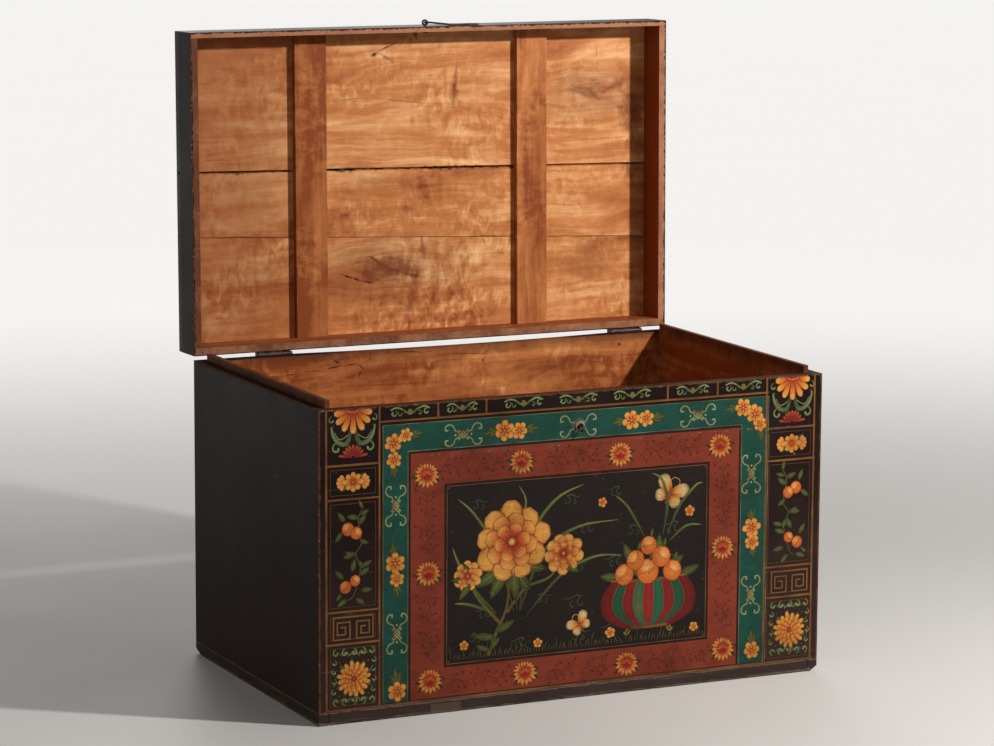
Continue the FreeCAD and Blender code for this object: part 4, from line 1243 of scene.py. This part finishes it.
for i in range(88):
    a = 222 + i * 5.1
    lean = field.hand.uniform(-6, 6)
    tall = field.hand.uniform(5, 13) if i % 4 else field.hand.uniform(12, 24)
    tints = (gold_dim if i % 4 else leaf_dark, leaf_mid)
    path = [(a, grass_foot), (a + 0.3 * lean, grass_foot + 0.6 * tall), (a + lean, grass_foot + tall)]
    field.stroke(path, [0.6, 1.3, 0.9, 0.3], tints, 0.9, 6)
for a, h, size in (
        (500, 100, 9.0), (372, 96, 8.0), (650, 96, 8.0), (244, 104, 8.0), (640, 286, 9.0), (484, 312, 8.0)):
    field.rosette(a, h, size, field.hand.uniform(0, 6.28), 5)
hang_paint("paint_black_field", field)


# Bottom: three thin camphor boards laid along the trunk on cross battens, never coated.
def bare_finish(name, **wood):
    """A board of bare camphor on all its faces."""
    material, point, shader = finish_of(name)
    colour, roughness, height = camphor(point, **wood)
    feed(shader, Base_Color=colour, Roughness=roughness, Normal=relief(height, 0.35 * mm, 0.5))
    return material


for seed, part in enumerate(("front", "middle", "back")):
    dress(bare_finish("bottom_wood_" + part, run="XYZ", seed=2.3 * seed, tone=0.85), "bottom_board_" + part)
dress(bare_finish("bottom_batten_wood", run="YXZ", seed=6.1, tone=0.8),
      "bottom_batten_left", "bottom_batten_middle", "bottom_batten_right")


# Base rails: plain strips pegged under the walls, with the same lacquer, dull and knocked at their lower edges.
rail_wood = tint(108, 88, 72)


def rail_finish(name, bare=0.0):
    """A rail's finish; bare says how much grey wood shows through all over."""
    material, point, shader = finish_of(name)
    height_up = point.parts()[2]
    knocks = point.noise(38.0, 38.0, 90.0, detail=5.0, rough=0.65)
    foot, shoulder = height_up.rises(8.0 * mm, 0.0), (height_up - rail_top).rises(-3.5 * mm, 0.0)
    colour, roughness, height = lacquer(point, foot.most(shoulder * 0.8) * knocks * 1.5)
    bared = (foot.most(shoulder) * 0.5 + knocks * 1.3).rises(0.9, 1.04)
    streak = point.noise(5.0, 5.0, 330.0, detail=5.0, rough=0.65).rises(0.56, 0.66)
    colour = (bared * 0.85).most(streak * 0.45 + bare).mix(colour, rail_wood)
    split = point.noise(3.0, 3.0, 420.0, detail=3.0).rises(0.68, 0.72)
    colour = (split * 0.8).mix(colour, wood_split_and_shade)
    feed(shader, Base_Color=colour, Roughness=roughness + 0.12, Specular_IOR_Level=0.16)
    feed(shader, Normal=relief(height - bared * 0.5 - split, 0.6 * mm, 0.8))
    return material


dress(rail_finish("rail_lacquer"), "front_base_rail", "back_base_rail", "left_base_rail", "right_base_rail")
dress(rail_finish("patch_wood", bare=0.32), "base_patch")


# Lid: a shallow box with camphor boards across it, hinged at the back. It is coated like the case outside, and
# its seam face is rubbed bare. Its finishes are worked out for the shut lid and turned with it.
def shut(place):
    """The place that a point of the open lid has when the lid is shut."""
    inputs = {"Vector": place, "Center": tuple(hinge_point), "Angle": lid_turn}
    return place.node("VectorRotate", {"rotation_type": "X_AXIS"}, inputs)


def shut_corner(corner):
    return hinge_point + Matrix.Rotation(lid_turn, 3, "X") @ (Vector(corner) - hinge_point)


lid_half_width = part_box("lid_rim_right")[1].x
lid_top = max(shut_corner(v.co).z for v in frame["nodes"]["lid_board_front"].data.vertices)
seam_wood = tint(170, 116, 84)
seam_stain = tint(104, 62, 44)
seam_low, seam_high = 1.4 * mm, 2.6 * mm
joint_front = (-0.0672, -0.0502)
joint_rear = (0.0398, 0.0778)


def lid_finish(name, seam=0.5, sheen=0.05, **wood):
    """A piece of the lid. seam says how much of its seam face's dark stain is left."""
    def depths_of(place):
        x, y, z = place.parts()
        return [abs(x) - lid_half_width, front_y - y, y - back_y, z - lid_top]

    def rubbed(place, colour):
        """Painted shade, darker towards the lid's left side; and the seam face, planed and then worn by the
        case, with lacquer left along its outer edge.
        """
        x, y, z = place.parts()
        cloud = place.noise(24.0, 24.0, 60.0, detail=4.0, rough=0.65)
        # Painted shade: the wood darkens towards the lid's left side, away from the lamp at the right.
        colour = ((x + cloud * 0.12).rises(-0.10, -0.27) * 0.58).mix(colour, wood_dark)
        fine = place.noise(160.0, detail=3.0)
        face = (z - case_top).rises(seam_high, seam_low)
        worn = ((cloud + fine * 0.4 - 0.7) * 1.5 + seam).rises(0.0, 1.0).mix(seam_wood, seam_stain)
        outer = (abs(x) - lid_half_width).most(front_y - y).rises(-7.0 * mm, -1.0 * mm)
        worn = (outer * fine * 2.0).rises(0.7, 0.95).mix(worn, lacquer_black)
        return face.mix(colour, worn)

    sides = (("X", -lid_half_width), ("X", lid_half_width), ("Y", front_y))
    edges = [(*side, "Z", z) for side in sides for z in (case_top, lid_top)]
    return coated_wood(name, shut, depths_of, edges, rubbed, wood, sheen=sheen)


def joint_shade_stretch(ends, start, stop, wide, dark):
    """A stretch of painted shade along an open joint between two boards; ends are its places at the lid's
    two sides.
    """
    y0, y1 = (ends[0] + (ends[1] - ends[0]) * (x / lid_half_width + 1.0) / 2.0 for x in (start, stop))
    return start, y0, stop, y1, wide, dark


# Painted shade: dark bands along the open joints between the lid's boards, wider than the gaps.
front_joint_shade_marks = (
    joint_shade_stretch(joint_front, -0.24, -0.03, 5.4, 0.95), joint_shade_stretch(joint_front, -0.10, 0.22, 4.2, 0.95),
    joint_shade_stretch(joint_front, -0.46, -0.19, 3.2, 0.9))
front_marks = front_joint_shade_marks + (
    (0.063, -0.205, 0.058, -0.160, 13.0, 0.8), (0.066, -0.24, 0.060, -0.18, 7.0, 0.6),
    (-0.169, -0.178, -0.10, -0.181, 1.0, 0.75), (-0.10, -0.181, 0.016, -0.167, 1.0, 0.75),
    (-0.096, -0.249, -0.078, -0.257, 5.4, 0.9), (-0.082, -0.256, -0.050, -0.238, 5.2, 0.6),
    (-0.082, -0.257, -0.050, -0.270, 3.6, 0.85), (-0.400, -0.088, -0.330, -0.084, 1.1, 0.6),
    (0.330, -0.262, 0.331, -0.232, 0.9, 0.7), (0.371, -0.262, 0.372, -0.240, 0.9, 0.6),
    (-0.014, -0.294, -0.009, -0.275, 6.0, 0.8), (0.392, -0.20, 0.40, -0.08, 34.0, 0.7),
    (0.345, -0.178, 0.395, -0.20, 15.0, 0.6), (0.30, -0.03, 0.40, -0.03, 60.0, 0.3))
middle_marks = front_joint_shade_marks + (
    (-0.15, -0.04, 0.0, -0.036, 16.0, 0.3), (0.395, -0.08, 0.40, -0.01, 28.0, 0.6),
    joint_shade_stretch(joint_rear, 0.06, 0.18, 2.4, 0.8), joint_shade_stretch(joint_rear, -0.44, -0.22, 2.6, 0.8))
rear_marks = (
    (-0.152, 0.115, -0.128, 0.123, 2.8, 0.9), (-0.134, 0.121, -0.112, 0.129, 3.6, 0.9),
    (-0.118, 0.127, -0.086, 0.134, 3.4, 0.85), (-0.118, 0.112, -0.080, 0.128, 16.0, 0.95),
    (-0.100, 0.085, -0.076, 0.104, 7.0, 0.95), (-0.082, 0.100, -0.048, 0.115, 8.0, 0.95),
    (-0.066, 0.108, -0.024, 0.123, 5.0, 0.5), (-0.034, 0.121, -0.004, 0.126, 7.0, 0.95),
    (-0.12, 0.095, 0.0, 0.118, 28.0, 0.75), (-0.012, 0.12, -0.03, 0.20, 16.0, 0.65),
    (-0.002, 0.06, 0.004, 0.10, 10.0, 0.6), (-0.37, 0.14, -0.33, 0.143, 1.0, 0.6),
    (0.26, 0.12, 0.38, 0.10, 60.0, 0.42))
front_knot = (0.318, -0.176, 0.034)
rear_knot = (-0.07, 0.112, 0.04)
for finish, piece, look in (
        ("lid_wood_front", "lid_board_front",
         dict(run="XYZ", seed=1.7, tone=1.03, knots=(front_knot,), marks=front_marks, sheen=0.1)),
        ("lid_wood_middle", "lid_board_middle",
         dict(run="XYZ", seed=4.9, tone=0.97, ripple=1.2, marks=middle_marks, sheen=0.1)),
        ("lid_wood_rear", "lid_board_rear",
         dict(run="XYZ", seed=8.3, tone=0.99, ripple=1.6, knots=(rear_knot,), marks=rear_marks, sheen=0.1)),
        # Front rim toned far darker than the others: painted shade for its inner face, in shade when the lid is open.
        ("lid_rim_wood_front", "lid_rim_front", dict(run="XZY", seed=3.3, tone=0.36, seam=0.25)),
        ("lid_rim_wood_rear", "lid_rim_rear", dict(run="XZY", seed=4.3, tone=0.72)),
        ("lid_rim_wood_left", "lid_rim_left", dict(run="YZX", seed=6.3, tone=0.62, seam=0.9)),
        ("lid_rim_wood_right", "lid_rim_right", dict(run="YZX", seed=7.3, tone=0.62, seam=0.35)),
        ("batten_wood_left", "lid_batten_left", dict(run="YXZ", seed=2.9, tone=0.8, sheen=0.08)),
        ("batten_wood_right", "lid_batten_right", dict(run="YXZ", seed=5.9, tone=0.88, sheen=0.08)),
        ("lid_peg_bamboo", "lid_pegs", dict(run="ZXY", seed=0.4, tone=0.9))):
    dress(lid_finish(finish, **look), piece)


# Pegs: split bamboo, driven dry, with its straight fibres end-on.
dress(bare_finish("peg_bamboo", run="ZXY", seed=0.2, tone=0.9, ripple=0.2), "base_pegs", "bottom_pegs")


# Ironwork: hammered by hand, blackened, and rusted brown where the black has gone.
iron_black = tint(44, 41, 39)
iron_rust = tint(96, 60, 38)
iron_grey = tint(104, 101, 98)

iron, point, shader = finish_of("wrought_iron")
cloud = point.noise(90.0, detail=5.0, rough=0.65)
dents = point.noise(210.0, detail=1.0)
rust = (cloud + dents * 0.25).rises(0.58, 0.82)
shine = point.noise(55.0, detail=2.0).rises(0.55, 0.72) * (1.0 - rust)
colour = rust.mix(shine.mix(iron_black, iron_grey), iron_rust)
feed(shader, Base_Color=colour, Metallic=0.75 - rust * 0.6, Roughness=rust * 0.38 + 0.42)
feed(shader, Normal=relief(dents * 0.7 + cloud * 0.5, 0.5 * mm, 0.8))
dress(iron, "front_staple", "hasp_eye", "hasp", "hinge_nails_case", "hinge_nails_lid")
for side in ("left", "right"):
    dress(iron, side + "_hinge_case_leaf", side + "_hinge_lid_leaf", side + "_hinge_pin")


bpy.context.scene.view_settings.view_transform = "Standard"
